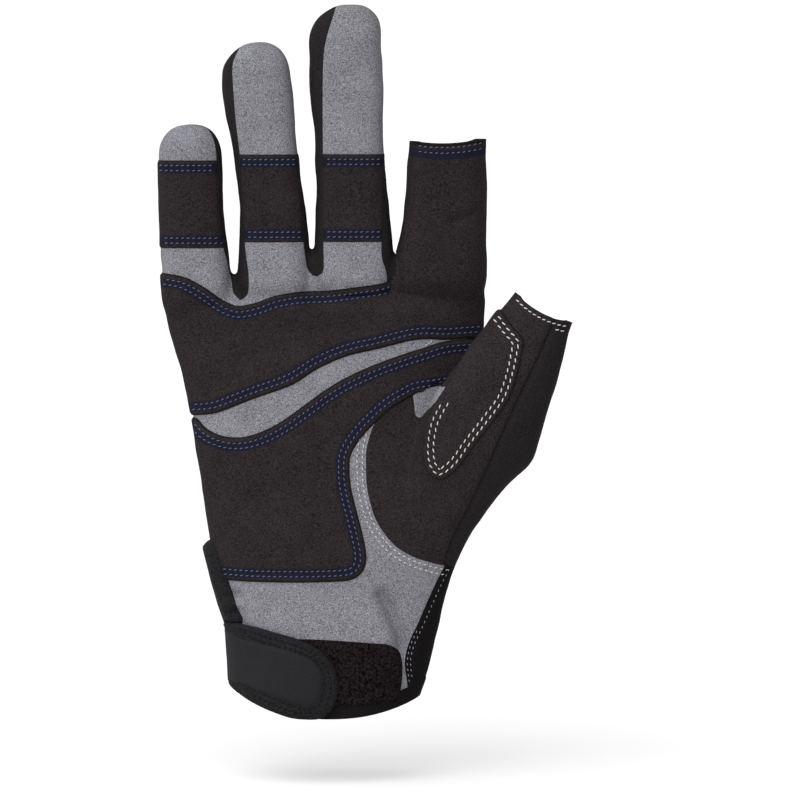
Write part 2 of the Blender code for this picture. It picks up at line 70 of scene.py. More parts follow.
# Body of the glove: height, left edge, right edge, depth in front, depth behind
HAND = (
    (-8.0, -28.8, 29.6, 22.0, 20.0),
    (0.0, -28.9, 30.4, 22.0, 20.0),
    (8.0, -29.1, 31.8, 21.8, 19.6),
    (14.0, -29.4, 34.0, 21.4, 19.2),
    (20.0, -29.8, 35.8, 21.0, 18.8),
    (30.0, -30.9, 38.4, 20.5, 18.0),
    (40.0, -33.6, 40.4, 19.8, 17.6),
    (46.0, -35.4, 42.0, 19.4, 17.4),
    (52.0, -37.0, 44.4, 19.2, 17.2),
    (58.0, -38.0, 47.0, 18.8, 17.0),
    (64.0, -38.6, 48.6, 18.5, 16.8),
    (75.0, -40.0, 49.4, 18.0, 16.5),
    (90.0, -42.4, 49.4, 16.8, 15.8),
    (104.0, -44.8, 50.0, 15.6, 15.2),
    (115.0, -47.2, 50.8, 14.7, 14.6),
    (123.0, -49.4, 51.8, 13.8, 14.0),
    (131.0, -51.8, 52.6, 12.8, 13.0),
    (137.0, -53.1, 53.0, 11.8, 12.2),
    (140.5, -53.7, 53.2, 9.4, 9.6),
    (143.0, -53.2, 53.0, 4.0, 4.0),
)
HAND_SQUARENESS = 2.6

# Fingers: squareness of their outline, depth at the foot, curl of the longest, reach down into the hand
FINGER_SQUARENESS = 3.2
FINGER_DEPTH = 21.2
FINGER_CURL = 6.0
FINGER_ROOT = 14.0
# A finger's front and back part at this share of its curl
MEAN_CURL = 0.3
# Each finger: height of its foot, length, depth at its end, fold and patch above the foot, height where its
# rounded end starts, and rows of height, left edge and right edge
FINGERS = {
    "pinky": dict(
        foot=143.0, length=56.6, depth=16.0, fold=26.0, patch=14.8, dome=189.2,
        edges=(
            (143.0, -54.2, -31.8), (150.0, -54.8, -31.9), (155.0, -55.2, -32.5),
            (163.0, -55.2, -33.7), (179.0, -55.8, -34.3), (189.2, -56.0, -34.7),
        ),
    ),
    "ring": dict(
        foot=147.0, length=80.2, depth=17.6, fold=29.0, patch=12.8, dome=216.0,
        edges=(
            (147.0, -29.9, -5.2), (155.0, -29.0, -5.4), (163.0, -28.6, -6.0), (171.0, -28.7, -6.8),
            (179.0, -29.6, -8.0), (187.0, -30.6, -8.8), (195.0, -31.9, -9.7), (204.0, -33.6, -10.4),
            (212.0, -34.3, -11.4), (216.0, -34.4, -11.8), (227.2, -33.4, -10.8),
        ),
    ),
    "middle": dict(
        foot=148.5, length=91.4, depth=18.4, fold=31.0, patch=11.4, dome=227.8,
        edges=(
            (148.5, -3.3, 22.8), (157.0, -3.3, 22.7), (163.0, -3.2, 22.4), (171.0, -3.0, 21.8),
            (179.0, -3.0, 20.7), (187.0, -3.4, 20.0), (196.0, -3.5, 19.6), (204.0, -4.4, 19.5),
            (212.0, -5.0, 19.4), (220.0, -5.4, 19.4), (227.8, -5.6, 19.0), (240.0, -3.4, 20.8),
        ),
    ),
    "index": dict(
        foot=148.5, length=44.5, depth=19.6, dome=199.0,
        edges=(
            (148.5, 24.4, 53.4), (155.0, 24.8, 53.5), (163.0, 26.4, 53.5), (171.0, 27.2, 53.4),
            (179.0, 28.0, 53.3), (187.0, 28.6, 53.3), (193.0, 29.3, 53.2), (199.0, 29.7, 53.2),
        ),
    ),
}
PATCH_LENGTH = 29.5
LONGEST = FINGERS["middle"]["length"]
# Lines between neighbouring fingers: height, x
FINGER_PARTINGS = (
    (
        (140, -30.9), (155, -30.8), (163, -31.1), (179, -31.9), (187, -32.6), (195, -34),
        (204, -40), (245, -40),
    ),
    (
        (140, -4.3), (155, -4.4), (163, -4.6), (171, -4.9), (179, -5.5), (187, -6.1), (196, -6.6),
        (204, -7.4), (212, -8.2), (220, -9), (228, -11), (245, -11),
    ),
    (
        (140, 23.6), (157, 23.9), (163, 24.4), (245, 24.4),
    ),
)
# Webs between the fingers: heights of their tops and foot, half width, half depth, and the CAD's names
WEB_TOPS = (146.0, 156.6, 155.0)
WEB_FOOT = 130.0
WEB_HALF_WIDTH = 2.6
WEB_HALF_DEPTH = 6.5
WEBS = {"pinky": "web_pinky_ring", "ring": "web_ring_middle", "middle": "web_middle_index"}

# Open end of the index finger: middle, half width, height, rise and tilt of its edge, depth of its hem
INDEX_MIDDLE = 41.3
INDEX_HALF = 12.4
INDEX_RIM = 192.8
INDEX_RIM_RISE = 1.4
INDEX_RIM_TILT = 0.4
INDEX_HEM = 5.5
# Right of this x the skin is the thumb's
INDEX_LIMIT = 58.0

# Thumb: distance down its axis, width, depth, how far in front of the hand's middle plane, sideways shift
THUMB_TIP = np.array((72.4, -29.0, 137.6))
THUMB_TILT = math.radians(27.8)
THUMB_UP = np.array((math.sin(THUMB_TILT), 0.0, math.cos(THUMB_TILT)))
THUMB_ACROSS = np.array((math.cos(THUMB_TILT), 0.0, -math.sin(THUMB_TILT)))
THUMB = (
    (-8.0, 20.4, 15.4, 29.4, 0.2),
    (0.0, 22.3, 16.0, 29.0, 0.6),
    (10.0, 26.6, 18.6, 28.4, 0.8),
    (20.0, 30.6, 21.0, 27.0, 0.8),
    (31.0, 34.8, 23.0, 24.6, 0.8),
    (41.0, 38.0, 25.0, 22.0, 1.2),
    (46.7, 38.8, 25.8, 19.6, 1.8),
    (52.0, 37.2, 26.4, 17.0, 1.4),
    (57.3, 34.6, 26.8, 14.0, 0.9),
    (64.0, 32.3, 27.0, 11.0, 0.6),
    (77.0, 27.8, 23.0, 8.2, 1.4),
    (92.0, 24.0, 18.0, 5.0, 3.0),
)
THUMB_FOLD = 31.0
THUMB_RIM_DIP = 2.2
THUMB_RIM_RISE = 1.3
THUMB_RIM_HALF = 11.2
THUMB_HEM = 6.0
# The thumb's own fabric: how far out of its oval, in half widths, and how far down its axis it reaches
THUMB_SKIN_OUT = 1.3
THUMB_SKIN_END = 47.0
# Right of this x there is only the thumb
THUMB_LIMIT = 56.0

# Cuff: x of its lowest point, half width, rise to the left and to the right, width of its tape
CUFF_MIDDLE = 1.5
CUFF_HALF = 32.5
CUFF_RISES = (11.5, 8.4)
CUFF_TAPE = 5.2
# Elastic inside the wrist: height and half width
WRIST_ELASTIC = 34.0
WRIST_ELASTIC_HALF = 4.0

# Strap: gap under it, thickness, distance of its groove from the edge, y at which it leaves its base
STRAP_LIFT = 1.6
STRAP_THICKNESS = 1.7
STRAP_GROOVE = 2.2
STRAP_HINGE = -3.0
# The strap's bend is given as a span from the first of these points to the second
STRAP_BEND = ((-36.7, -2.0, 22), (-36.7, -13.0, 22))
# Nothing of the strap or the cuff lies above this height
WRIST_TOP = 66.0

# Seams and edges as (x, z) points seen from the palm
UPPER_PAD_TOP = (
    (-62, 150.0), (-54.4, 149.4), (-47.4, 148.2), (-40.7, 144.8), (-33.9, 140.1), (-29.6, 138.4),
    (-23.5, 139.4), (-16.8, 141.8), (-9.1, 143.1), (0.3, 143.5), (10.8, 144.8), (20.4, 146.4),
    (24.0, 149.6),
)
UPPER_PAD_FOOT = (
    (62, 127.95), (48.7, 127.45), (43, 127.1), (39.6, 127), (33.9, 127.3), (27.9, 126.6),
    (18.1, 124.1), (7.4, 121.6), (-2.0, 117.6), (-11.0, 112.0), (-24.2, 107.2), (-36.3, 102.5),
    (-43.7, 101.5), (-62, 101.1),
)
LOWER_PAD_TOP = (
    (-62, 100.9), (-43.3, 100.6), (-39.6, 97.1), (-34.3, 94.8), (-28.2, 94.4), (-21.8, 96.1),
    (-15.1, 99.5), (-7.7, 104.7), (0, 110.3), (7.7, 114.8), (18.1, 119.4), (27.2, 122.6),
    (33.0, 124.4), (38.6, 126.2), (43, 126.95), (51.4, 127.45), (62, 127.8),
)
LOWER_PAD_SIDE = (
    (62, 113), (48, 111.6), (39.8, 110.3), (30.8, 109), (27.6, 107.4), (22.4, 104.2), (17.3, 99.7),
    (14.1, 96.5), (10.9, 92.6), (8.6, 88.1), (8.3, 84.3), (8.6, 79.1), (9.6, 74), (12.4, 63.2),
    (13.8, 56.4), (13.8, 52.4), (12.1, 48.7), (8.7, 46.7), (3.4, 46.1), (-6.4, 45.8), (-14.4, 45.8),
    (-24, 45.9), (-33.9, 46.3), (-62, 47),
)
THUMB_PANEL_EDGE = (
    (42, 113.5), (33, 111.2), (27.6, 108.8), (22.4, 105.6), (18.4, 102), (16.4, 98.6), (14.9, 94.6),
    (13.9, 90), (13.8, 84), (14.1, 78), (15.2, 72.6), (17.1, 66.9), (19.8, 62.4), (23.8, 57.9),
    (29.3, 54.5), (36, 52.2), (42, 50.8), (58, 49),
)
THUMB_CORNER = (
    (29.9, 109.8), (35, 111), (41.4, 111.8), (39.6, 109.6), (37.7, 107.2), (35.3, 104.5),
    (33.2, 101.9), (31.6, 100.9), (30.4, 101.8), (30.1, 104.5),
)
THUMB_PATCH = (
    (55.6, 139), (58.8, 137.8), (62.6, 132.6), (66.4, 128), (65.9, 122.8), (64.2, 115.1),
    (61.4, 107.4), (55.9, 99.7), (49.5, 91.3), (45, 84.9), (39.6, 80.6), (36.4, 81), (33.6, 84.9),
    (32.8, 91.3), (34, 99.7), (36.2, 104.8), (38.6, 108.8), (40.4, 111.6), (44.6, 119), (50, 128),
)
THUMB_PATCH_SEWN = (1, 17)
THUMB_SEAM = (
    (80.0, 140), (75.6, 131), (72.2, 123.3), (67.9, 114.2), (62.8, 103.5), (57.8, 92.1),
    (52.8, 80.3), (47.7, 69.2), (43.7, 61.2), (41, 53.8), (40, 46),
)
SIDE_PANEL_EDGE = (
    (41.4, 55), (39.9, 50.6), (37.6, 46.2), (34.2, 38.8), (31.3, 32.2), (28.2, 25.4), (26.8, 19.4),
    (27.4, 13.1), (28, 8.2), (27.6, -6),
)
LOOP_PATCH = (
    (-22, 25.4), (20.4, 25.2), (23.8, 23.6), (25.7, 20), (25.9, 14), (25.0, 8.6), (23.2, 5.4),
    (-22, 5.4),
)
STRAP_EDGE = (
    (-62, 36.5), (-33.6, 33.2), (-23.6, 31.2), (-13.1, 28.2), (-6.4, 25.9), (-0.8, 22.4),
    (2.6, 18.1), (4.2, 13.1), (3.9, 6.8), (2, 2.7), (-0.8, 0.5), (-4.1, -0.1), (-10.8, 0.5),
    (-18.6, 3.2), (-25.3, 6.7), (-30.3, 10.8), (-34, 14.2), (-62, 19),
)
STRAP_FIELD = (
    (-31.6, 30.2), (-25.3, 26.6), (-10.8, 22.4), (-4.3, 19.6), (-1.9, 16.4), (-1, 11.9),
    (-1.6, 7.6), (-3.6, 5), (-6.4, 4.4), (-10.8, 5.8), (-18.6, 8.6), (-25.3, 11.5), (-31.6, 14.6),
)
STRAP_BASE_FRONT = (
    (-62, 60.5), (-38.4, 60), (-36.2, 57.8), (-34.4, 52.6), (-32.6, 46.5), (-30.9, 41.5),
    (-29.3, 36.6), (-27.6, 33.4), (-28.4, 30), (-28.8, 24), (-32, 20), (-62, 20),
)
STRAP_BASE_BACK = (
    (-62, 60.5), (-39, 59.4), (-30, 53), (-14, 47), (-2, 44), (0, 40), (0, 18), (-4, 13.6),
    (-20, 12), (-62, 14),
)
FINGER_FRONT = {
    "pinky": (
        (-62, 126), (-62, 152.9), (-60, 164), (-60, 184.1), (-59, 190.8), (-56, 197.5), (-50, 203),
        (-45, 202), (-41, 199.4), (-38, 195.6), (-36.7, 190.8), (-36.1, 180), (-35.2, 168),
        (-34.1, 157.6), (-33, 153.7), (-31.5, 146.8), (-30.7, 142.5), (-28.3, 140.2), (-25, 138),
        (-25, 126),
    ),
    "ring": (
        (-31.5, 126), (-31.5, 138), (-28.3, 140.2), (-26.2, 141.9), (-25.6, 144.7), (-25.7, 149.8),
        (-26.6, 156), (-27.2, 163), (-28.6, 189.2), (-29.9, 200.3), (-30.9, 213.7), (-30.9, 219.7),
        (-28.4, 225.4), (-22.5, 232), (-14.8, 229), (-11, 223.6), (-10.4, 217.4), (-9.6, 202.6),
        (-8.8, 189.5), (-7.6, 163), (-6.9, 156.7), (-6, 151.1), (-4.7, 149), (-2.8, 148.2),
        (0, 146), (0, 126),
    ),
    "middle": (
        (-6, 126), (-6, 146), (-2.8, 148.2), (-0.9, 149.4), (-0.4, 151.1), (-0.5, 157.6),
        (-0.7, 189.5), (-0.7, 215.4), (0, 225.8), (2.4, 234.5), (6, 243), (14, 243), (19, 236),
        (20.4, 229), (20.4, 207), (19.9, 188.8), (19.1, 163), (18.9, 157), (19.3, 153.6),
        (20.4, 150.6), (20.9, 146), (21.4, 126),
    ),
}

# Folds in the worn fabric: (x, z) points, depth, half width; a negative depth is a ridge
FOLDS = (
    (((19.5, 41.7), (22.8, 35.3), (25.5, 29.2), (26.6, 23.9)), 3.5, 2.3),
    (((13.5, 40), (17.5, 33.5), (21, 27.5)), -0.9, 2.6),
    (((33.6, 173.4), (38.8, 174.6)), 0.5, 1.3),
    (((41.6, 166), (47, 168), (52, 170.8)), 0.8, 1.5),
    (((-3, 139), (3, 134), (8, 130)), 2.0, 4.5),
    (((40, 140), (50, 135)), 0.8, 4.0),
    (((-50, 152.2), (-41, 151)), 0.5, 1.8),
    (((-33.5, 45), (-30.4, 44.2)), -1.0, 1.2),
    (((-31.8, 38.9), (-27.6, 38.2)), -1.1, 1.2),
    (((-33, 41.8), (-29, 41)), 0.8, 1.1),
    (((-30, 120), (-22, 124), (-14, 123)), 0.9, 5.0),
    (((-30, 70), (-15, 76), (-4, 74)), 0.7, 6.0),
    (((-26, 205), (-18, 206)), 0.5, 2.4),
    (((3, 214), (12, 216)), 0.5, 2.4),
)

# The folds fade out between these x, and lie only in front of this y
FOLD_FADE = (-32.5, -29.5)
FOLD_FRONT = -2.0
# Unevenness of worn fabric: height and span of its slow wave and of its small dents
WAVE = (0.55, 17.0)
DENTS = (0.16, 5.5)

# Thickness of the fabric, and how far sewn-on pieces stand up from it
FABRIC = 1.2
PAD_HEIGHT = 0.8
PAD_BOTTOM = 0.08
PAD_EDGE = 0.05
PATCH_HEIGHT = 0.4
PATCH_BOTTOM = 0.04
PATCH_EDGE = 0.1
# Outer and inner face of a folded hem, from the skin
HEM_OUTER = -FABRIC - 0.15
HEM_INNER = -FABRIC - 1.0
# The palm's fabric and the back's meet at this y, and pads rise from there by this slope
PALM_SPLIT = -0.6
SPLIT_RISE = 1.6
# Stitch rows: distance of the two blue rows on a finger patch from its ends, lean of a stitch
PATCH_ROWS = (1.7, 3.4)
SLANT = 0.13
# A piece's look knows its distance from the edge up to here, moved by a shift where the thread rows are
MARK_REACH = 20.0
BAND_SHIFT = 0.4
# Span given with a fold's bend, this far to both sides, and with the bend at a finger's foot, this far
# above it
FOLD_REACH = 8.0
FOOT_REACH = 10.0
# Skin: distance between the rings it is built from, and size of its mesh
RING_STEP = 2.0
VOXEL = 0.92
# Points of the skin this near to a cut, as a share of their edge, move onto it
SNAP = 0.18


def linear(hex_colour):
    """Linear colour from an sRGB hex string."""
    parts = [int(hex_colour[i:i + 2], 16) / 255 for i in (0, 2, 4)]
    return [p / 12.92 if p <= 0.04045 else ((p + 0.055) / 1.055) ** 2.4 for p in parts]


def smoothstep(low, high, x):
    """0 below low, 1 above high and a smooth rise between."""
    t = np.clip((x - low) / (high - low), 0.0, 1.0)
    return t * t * (3 - 2 * t)


def curve(points, closed=False, step=0.8):
    """Smooth run of (x, z) points through the given ones."""
    p = np.array(points, float)
    count = len(p) if closed else len(p) - 1
    out = []
    for i in range(count):
        if closed:
            a, b, c, d = (p[(i + k) % len(p)] for k in (-1, 0, 1, 2))
        else:
            b, c = p[i], p[i + 1]
            a = p[i - 1] if i else 2 * b - c
            d = p[i + 2] if i + 2 < len(p) else 2 * c - b
        length = np.linalg.norm(c - b)
        before = (c - a) * min(1.0, length / max(np.linalg.norm(b - a), 1e-6)) * 0.5
        after = (d - b) * min(1.0, length / max(np.linalg.norm(d - c), 1e-6)) * 0.5
        steps = max(2, int(length / step))
        for t in np.arange(steps) / steps:
            h = np.array((2 * t**3 - 3 * t**2 + 1, t**3 - 2 * t**2 + t, -2 * t**3 + 3 * t**2, t**3 - t**2))
            out.append(h[0] * b + h[1] * before + h[2] * c + h[3] * after)
    if not closed:
        out.append(p[-1])
    return np.array(out)


def to_line(a, b, reach):
    """Function giving the distance of points to runs from a to b in (x, z), up to a reach."""
    low = np.minimum(a, b).min(axis=0) - reach
    high = np.maximum(a, b).max(axis=0) + reach
    d = (b - a)[None]
    size = np.maximum((d * d).sum(-1), 1e-12)

    def measure(co):
        found = np.full(len(co), reach)
        flat = co[:, (0, 2)]
        near = np.flatnonzero(((flat > low) & (flat < high)).all(axis=1))
        batch = 6000
        for start in range(0, len(near), batch):
            rows = near[start:start + batch]
            p = flat[rows][:, None, :]
            t = np.clip(((p - a) * d).sum(-1) / size, 0, 1)
            distance = np.sqrt((((a + t[..., None] * d) - p) ** 2).sum(-1).min(axis=1))
            found[rows] = np.minimum(distance, reach)
        return found

    return measure


def depth_in(outline, reach=9.0):
    """Function giving how far points lie inside an (x, z) outline, in mm; outside is negative."""
    a = np.asarray(outline, float)
    b = np.roll(a, -1, axis=0)
    distance = to_line(a, b, reach)

    def measure(co):
        inside = np.zeros(len(co), bool)
        x, z = co[:, 0], co[:, 2]
        for p, q in zip(a, b):
            if p[1] != q[1]:
                crossing = (p[1] > z) != (q[1] > z)
                inside ^= crossing & (x < p[0] + (z - p[1]) * (q[0] - p[0]) / (q[1] - p[1]))
        return np.where(inside, 1.0, -1.0) * distance(co)

    return measure


def table_row(table, at):
    """The row of a size table at a place along its first column, smoothly between its rows."""
    t = np.array(table, float)
    place = t[:, 0]
    slope = np.gradient(t[:, 1:], place, axis=0)
    i = int(np.clip(np.searchsorted(place, at) - 1, 0, len(place) - 2))
    span = place[i + 1] - place[i]
    u = min(max((at - place[i]) / span, 0.0), 1.0)
    h = (2 * u**3 - 3 * u**2 + 1, (u**3 - 2 * u**2 + u) * span, -2 * u**3 + 3 * u**2, (u**3 - u**2) * span)
    return h[0] * t[i, 1:] + h[1] * slope[i] + h[2] * t[i + 1, 1:] + h[3] * slope[i + 1]


def oval(centre, across, half_width, half_depth, squareness, points):
    """Ring of points round a centre; a squareness of 2 is an ellipse."""
    angle = 2 * np.pi * (np.arange(points) + 0.5) / points
    u = np.sign(np.cos(angle)) * np.abs(np.cos(angle)) ** (2 / squareness) * half_width
    v = np.sign(np.sin(angle)) * np.abs(np.sin(angle)) ** (2 / squareness) * half_depth
    return np.asarray(centre) + u[:, None] * np.asarray(across) + v[:, None] * np.array((0.0, 1.0, 0.0))


class Surface:
    """Points in mm with their outward directions, and the faces between them."""

    def __init__(self, co, no, faces):
        self.co = co
        self.no = no
        self.faces = faces

    @classmethod
    def of_mesh(cls, mesh, kept_directions=False):
        """The surface of a mesh, with its own outward directions or those kept in it."""
        co = np.empty(len(mesh.vertices) * 3)
        mesh.vertices.foreach_get("co", co)
        no = np.empty(len(mesh.vertices) * 3)
        if kept_directions:
            mesh.attributes["out"].data.foreach_get("vector", no)
        else:
            mesh.vertices.foreach_get("normal", no)
        no = no.reshape(-1, 3)
        no /= np.maximum(np.linalg.norm(no, axis=1), 1e-9)[:, None]
        return cls(co.reshape(-1, 3) / MM, no, [tuple(p.vertices) for p in mesh.polygons])

    def mesh(self):
        """A mesh that keeps the outward directions."""
        made = bpy.data.meshes.new("surface")
        made.from_pydata((self.co * MM).tolist(), [], self.faces)
        made.attributes.new("out", "FLOAT_VECTOR", "POINT").data.foreach_set("vector", self.no.ravel())
        made.update()
        return made

    def centres(self):
        """The middle of each face."""
        return np.array([self.co[list(f)].mean(axis=0) for f in self.faces])

    def part(self, keep):
        """The kept faces, with only the points that they use."""
        faces = [self.faces[i] for i in np.flatnonzero(keep)]
        used = np.array(sorted({v for f in faces for v in f}))
        place = np.zeros(len(self.co), int)
        place[used] = np.arange(len(used))
        return Surface(self.co[used], self.no[used], [tuple(place[list(f)].tolist()) for f in faces])


def add_rings(bm, rings):
    """Add a closed body through rings of points."""
    loops = [[bm.verts.new(p * MM) for p in ring] for ring in rings]
    made = []
    for low, high in zip(loops, loops[1:]):
        for i in range(len(low)):
            j = (i + 1) % len(low)
            made.append(bm.faces.new((low[i], low[j], high[j], high[i])))
    made.append(bm.faces.new(loops[0]))
    made.append(bm.faces.new(loops[-1]))
    bmesh.ops.recalc_face_normals(bm, faces=made)


def cut(surface, field):
    """The surface with a row of edges along every place where the field is zero."""
    value = field(surface.co)
    mesh = surface.mesh()
    pairs = np.empty(len(mesh.edges) * 2, int)
    mesh.edges.foreach_get("vertices", pairs)
    pairs = pairs.reshape(-1, 2)
    a, b = value[pairs[:, 0]], value[pairs[:, 1]]
    crossing = np.flatnonzero(a * b < 0)
    t = a[crossing] / (a[crossing] - b[crossing])
    co = surface.co.copy()
    for end, near in ((0, t < SNAP), (1, t > 1 - SNAP)):
        rows = crossing[near]
        v, w = pairs[rows, end], pairs[rows, 1 - end]
        share = t[near] if end == 0 else 1 - t[near]
        free = value[v] != 0
        co[v[free]] = surface.co[v[free]] + share[free, None] * (surface.co[w[free]] - surface.co[v[free]])
        value[v] = 0
    mesh.vertices.foreach_set("co", (co * MM).ravel())
    a, b = value[pairs[:, 0]], value[pairs[:, 1]]
    crossing = np.flatnonzero(a * b < 0)
    bm = bmesh.new()
    bm.from_mesh(mesh)
    bm.verts.ensure_lookup_table()
    bm.edges.ensure_lookup_table()
    on_line = [bm.verts[i] for i in np.flatnonzero(value == 0)]
    for edge in [bm.edges[i] for i in crossing]:
        first = value[edge.verts[0].index]
        second = value[edge.verts[1].index]
        on_line.append(bmesh.utils.edge_split(edge, edge.verts[0], first / (first - second))[1])
    bmesh.ops.connect_verts(bm, verts=on_line)
    bm.to_mesh(mesh)
    bm.free()
    made = Surface.of_mesh(mesh, kept_directions=True)
    bpy.data.meshes.remove(mesh)
    return made


def shell(name, surface, keep, top, bottom, look, marks=None):
    """Closed piece over the kept faces, from bottom to top mm off the surface."""
    faces = [surface.faces[i] for i in np.flatnonzero(keep)]
    used = np.array(sorted({v for f in faces for v in f}))
    place = {v: i for i, v in enumerate(used)}
    faces = [tuple(place[v] for v in f) for f in faces]
    co, no = surface.co[used], surface.no[used]
    high = top[used] if isinstance(top, np.ndarray) else np.full(len(used), float(top))
    low = bottom[used] if isinstance(bottom, np.ndarray) else np.full(len(used), float(bottom))
    count = len(used)
    directed = {(f[i - 1], f[i]) for f in faces for i in range(len(f))}
    rim = sorted((i, j) for i, j in directed if (j, i) not in directed)
    solid = faces + [tuple(v + count for v in reversed(f)) for f in faces]
    solid += [(j, i, i + count, j + count) for i, j in rim]
    points = np.concatenate((co + no * high[:, None], co + no * low[:, None]))
    mesh = bpy.data.meshes.new(name)
    mesh.from_pydata((points * MM).tolist(), [], solid)
    mesh.polygons.foreach_set("use_smooth", [True] * len(mesh.polygons))
    sharp = {tuple(sorted(e)) for e in rim}
    sharp |= {(i + count, j + count) for i, j in sharp}
    for edge in mesh.edges:
        if tuple(sorted(edge.vertices)) in sharp:
            edge.use_edge_sharp = True
    if marks is not None:
        attribute = mesh.attributes.new("edge_mm", "FLOAT", "POINT")
        attribute.data.foreach_set("value", np.tile(marks[used], 2).astype(np.float32))
    mesh.update()
    made = bpy.data.objects.new(name, mesh)
    bpy.context.scene.collection.objects.link(made)
    mesh.materials.append(LOOKS[look])
    return made


def node(tree, kind, values=(), links=(), **settings):
    """Add a shader node, set its values and settings, and link its inputs."""
    made = tree.nodes.new(kind)
    for key, value in settings.items():
        setattr(made, key, value)
    for key, value in values:
        made.inputs[key].default_value = value
    for key, source in links:
        tree.links.new(source, made.inputs[key])
    return made


def fabric_look(name, dark, light, speck_mm, bump_mm, roughness, shine=0.1, contrast=0.3, band=None,
                rim=False):
    """Cloth with a fine grain; band tints the sewn edge of a piece and rim paints shade along its very
    edge.
    """
    blotch = 0.08
    blotch_mm = 9.0
    made = bpy.data.materials.new(name)
    made.use_nodes = True
    tree = made.node_tree
    shader = tree.nodes["Principled BSDF"]
    shader.inputs["Roughness"].default_value = roughness
    shader.inputs["Specular IOR Level"].default_value = shine
    place = node(tree, "ShaderNodeTexCoord").outputs["Object"]
    fine = (("Scale", 1000 / speck_mm), ("Detail", 4.0), ("Roughness", 0.7))
    grain = node(tree, "ShaderNodeTexNoise", fine, (("Vector", place),))
    slow = (("Scale", 1000 / blotch_mm), ("Detail", 3.0))
    broad = node(tree, "ShaderNodeTexNoise", slow, (("Vector", place),))
    mixed = node(tree, "ShaderNodeMix", (("Factor", blotch),),
                 ((2, grain.outputs["Fac"]), (3, broad.outputs["Fac"])))
    ramp = node(tree, "ShaderNodeValToRGB", (), (("Fac", mixed.outputs[0]),))
    ramp.color_ramp.elements[0].position = 0.5 - contrast / 2
    ramp.color_ramp.elements[0].color = (*linear(dark), 1)
    ramp.color_ramp.elements[1].position = 0.5 + contrast / 2
    ramp.color_ramp.elements[1].color = (*linear(light), 1)
    colour = ramp.outputs["Color"]
    bump = node(tree, "ShaderNodeBump", (("Strength", 0.7), ("Distance", bump_mm * MM)),
                (("Height", grain.outputs["Fac"]),))
    if band:
        edge = node(tree, "ShaderNodeAttribute", attribute_name="edge_mm").outputs["Fac"]
        rising = (("From Min", 1.0), ("From Max", 2.0), ("To Min", 0.0), ("To Max", 0.7))
        value = (("Value", edge),)
        start = node(tree, "ShaderNodeMapRange", rising, value, interpolation_type="SMOOTHSTEP")
        falling = (("From Min", 4.2), ("From Max", 5.2), ("To Min", 1.0), ("To Max", 0.0))
        end = node(tree, "ShaderNodeMapRange", falling, value, interpolation_type="SMOOTHSTEP")
        both = ((0, start.outputs[0]), (1, end.outputs[0]))
        share = node(tree, "ShaderNodeMath", (), both, operation="MULTIPLY")
        colour = node(tree, "ShaderNodeMix", ((7, (*linear(band), 1)),),
                      ((0, share.outputs[0]), (6, colour)), data_type="RGBA").outputs[2]
    # Painted shade along the piece's edge: within 0.8 mm of it the colour darkens, to about a third at the
    # edge itself
    if rim:
        edge = node(tree, "ShaderNodeAttribute", attribute_name="edge_mm").outputs["Fac"]
        painted_edge_shade = (("From Min", 0.0), ("From Max", 0.8), ("To Min", 0.35), ("To Max", 1.0))
        shade = node(tree, "ShaderNodeMapRange", painted_edge_shade, (("Value", edge),))
        colour = node(tree, "ShaderNodeVectorMath", (), ((0, colour), ("Scale", shade.outputs[0])),
                      operation="SCALE").outputs["Vector"]
    tree.links.new(colour, shader.inputs["Base Color"])
    tree.links.new(bump.outputs["Normal"], shader.inputs["Normal"])
    return made


# Finishes: dark and light colour, size and height of the grain in mm, roughness, shine and contrast.
# Every grain is drawn at 0.3 to 0.8 mm, coarser than the real nap, knit or twist, so that it shows
LOOKS = {
    # Synthetic suede with a brushed nap: no gloss, and grey broken into light and dark specks
    "suede": fabric_look("grey_suede", "47464b", "a6a6ad", 0.38, 0.18, 0.95, 0.05, 0.27),
    # The same suede dyed black over a pad: painted shade at its cut edge, bluish where thread pulls it in
    "pad": fabric_look(
        "black_suede", "120f10", "393334", 0.38, 0.14, 0.9, 0.08, 0.21, band="14172a", rim=True),
    # Black suede in one layer: painted shade at its edges and seams, with no bluish band
    "black": fabric_look("black_panel", "120f10", "3b3536", 0.38, 0.14, 0.9, 0.08, 0.21, rim=True),
    # Knitted stretch fabric: an even, dull black, and a darker copy that paints shade on the wrist side
    # away from the light; the cuff tape takes the darker copy too
    "stretch": fabric_look("black_stretch", "111010", "2f2b2c", 0.4, 0.1, 0.9, 0.1, 0.3),
    "side": fabric_look("stretch_painted_shade", "0c0b0b", "1f1c1d", 0.4, 0.1, 0.9, 0.06, 0.3),
    # Brushed loop pile: deep fuzz that takes in the light, with a few lit loops
    "loop": fabric_look("loop_pile", "030202", "2a2425", 0.8, 0.8, 1.0, 0.03, 0.22),
    # Moulded rubber: smooth and even, with a faint sheen
    "cover": fabric_look("strap_cover", "1a191c", "28272a", 0.35, 0.05, 0.7, 0.12, 0.3),
    # Woven tape: a coarser grain than the knit
    "band": fabric_look("strap_band", "0f0e10", "2b2a2c", 0.5, 0.16, 0.85, 0.1, 0.24),
    # Twisted thread: a little glossier than the fabric round it
    "blue": fabric_look("blue_thread", "4c5474", "6c7494", 0.3, 0.05, 0.8, 0.2),
    "white": fabric_look("white_thread", "c6c6c4", "e6e6e4", 0.3, 0.05, 0.7, 0.2),
    "pale": fabric_look("pale_thread", "8a8a8b", "aaaaab", 0.3, 0.05, 0.7, 0.2),
    "dark": fabric_look("black_thread", "060507", "0e0d0f", 0.3, 0.05, 0.7, 0.2),
}


def settle(made, look, ride=None, bend=None, stands_for=()):
    """Attach a piece to the body it rides on and hide the parts it stands for; a bending piece is only
    baked where it stands.
    """
    if ride:
        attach(made, ride)
    if bend:
        first, second, start, end = bend
        np.asarray(start) * MM
        np.asarray(end) * MM
        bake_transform(made)
    if stands_for:
        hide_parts(*stands_for)


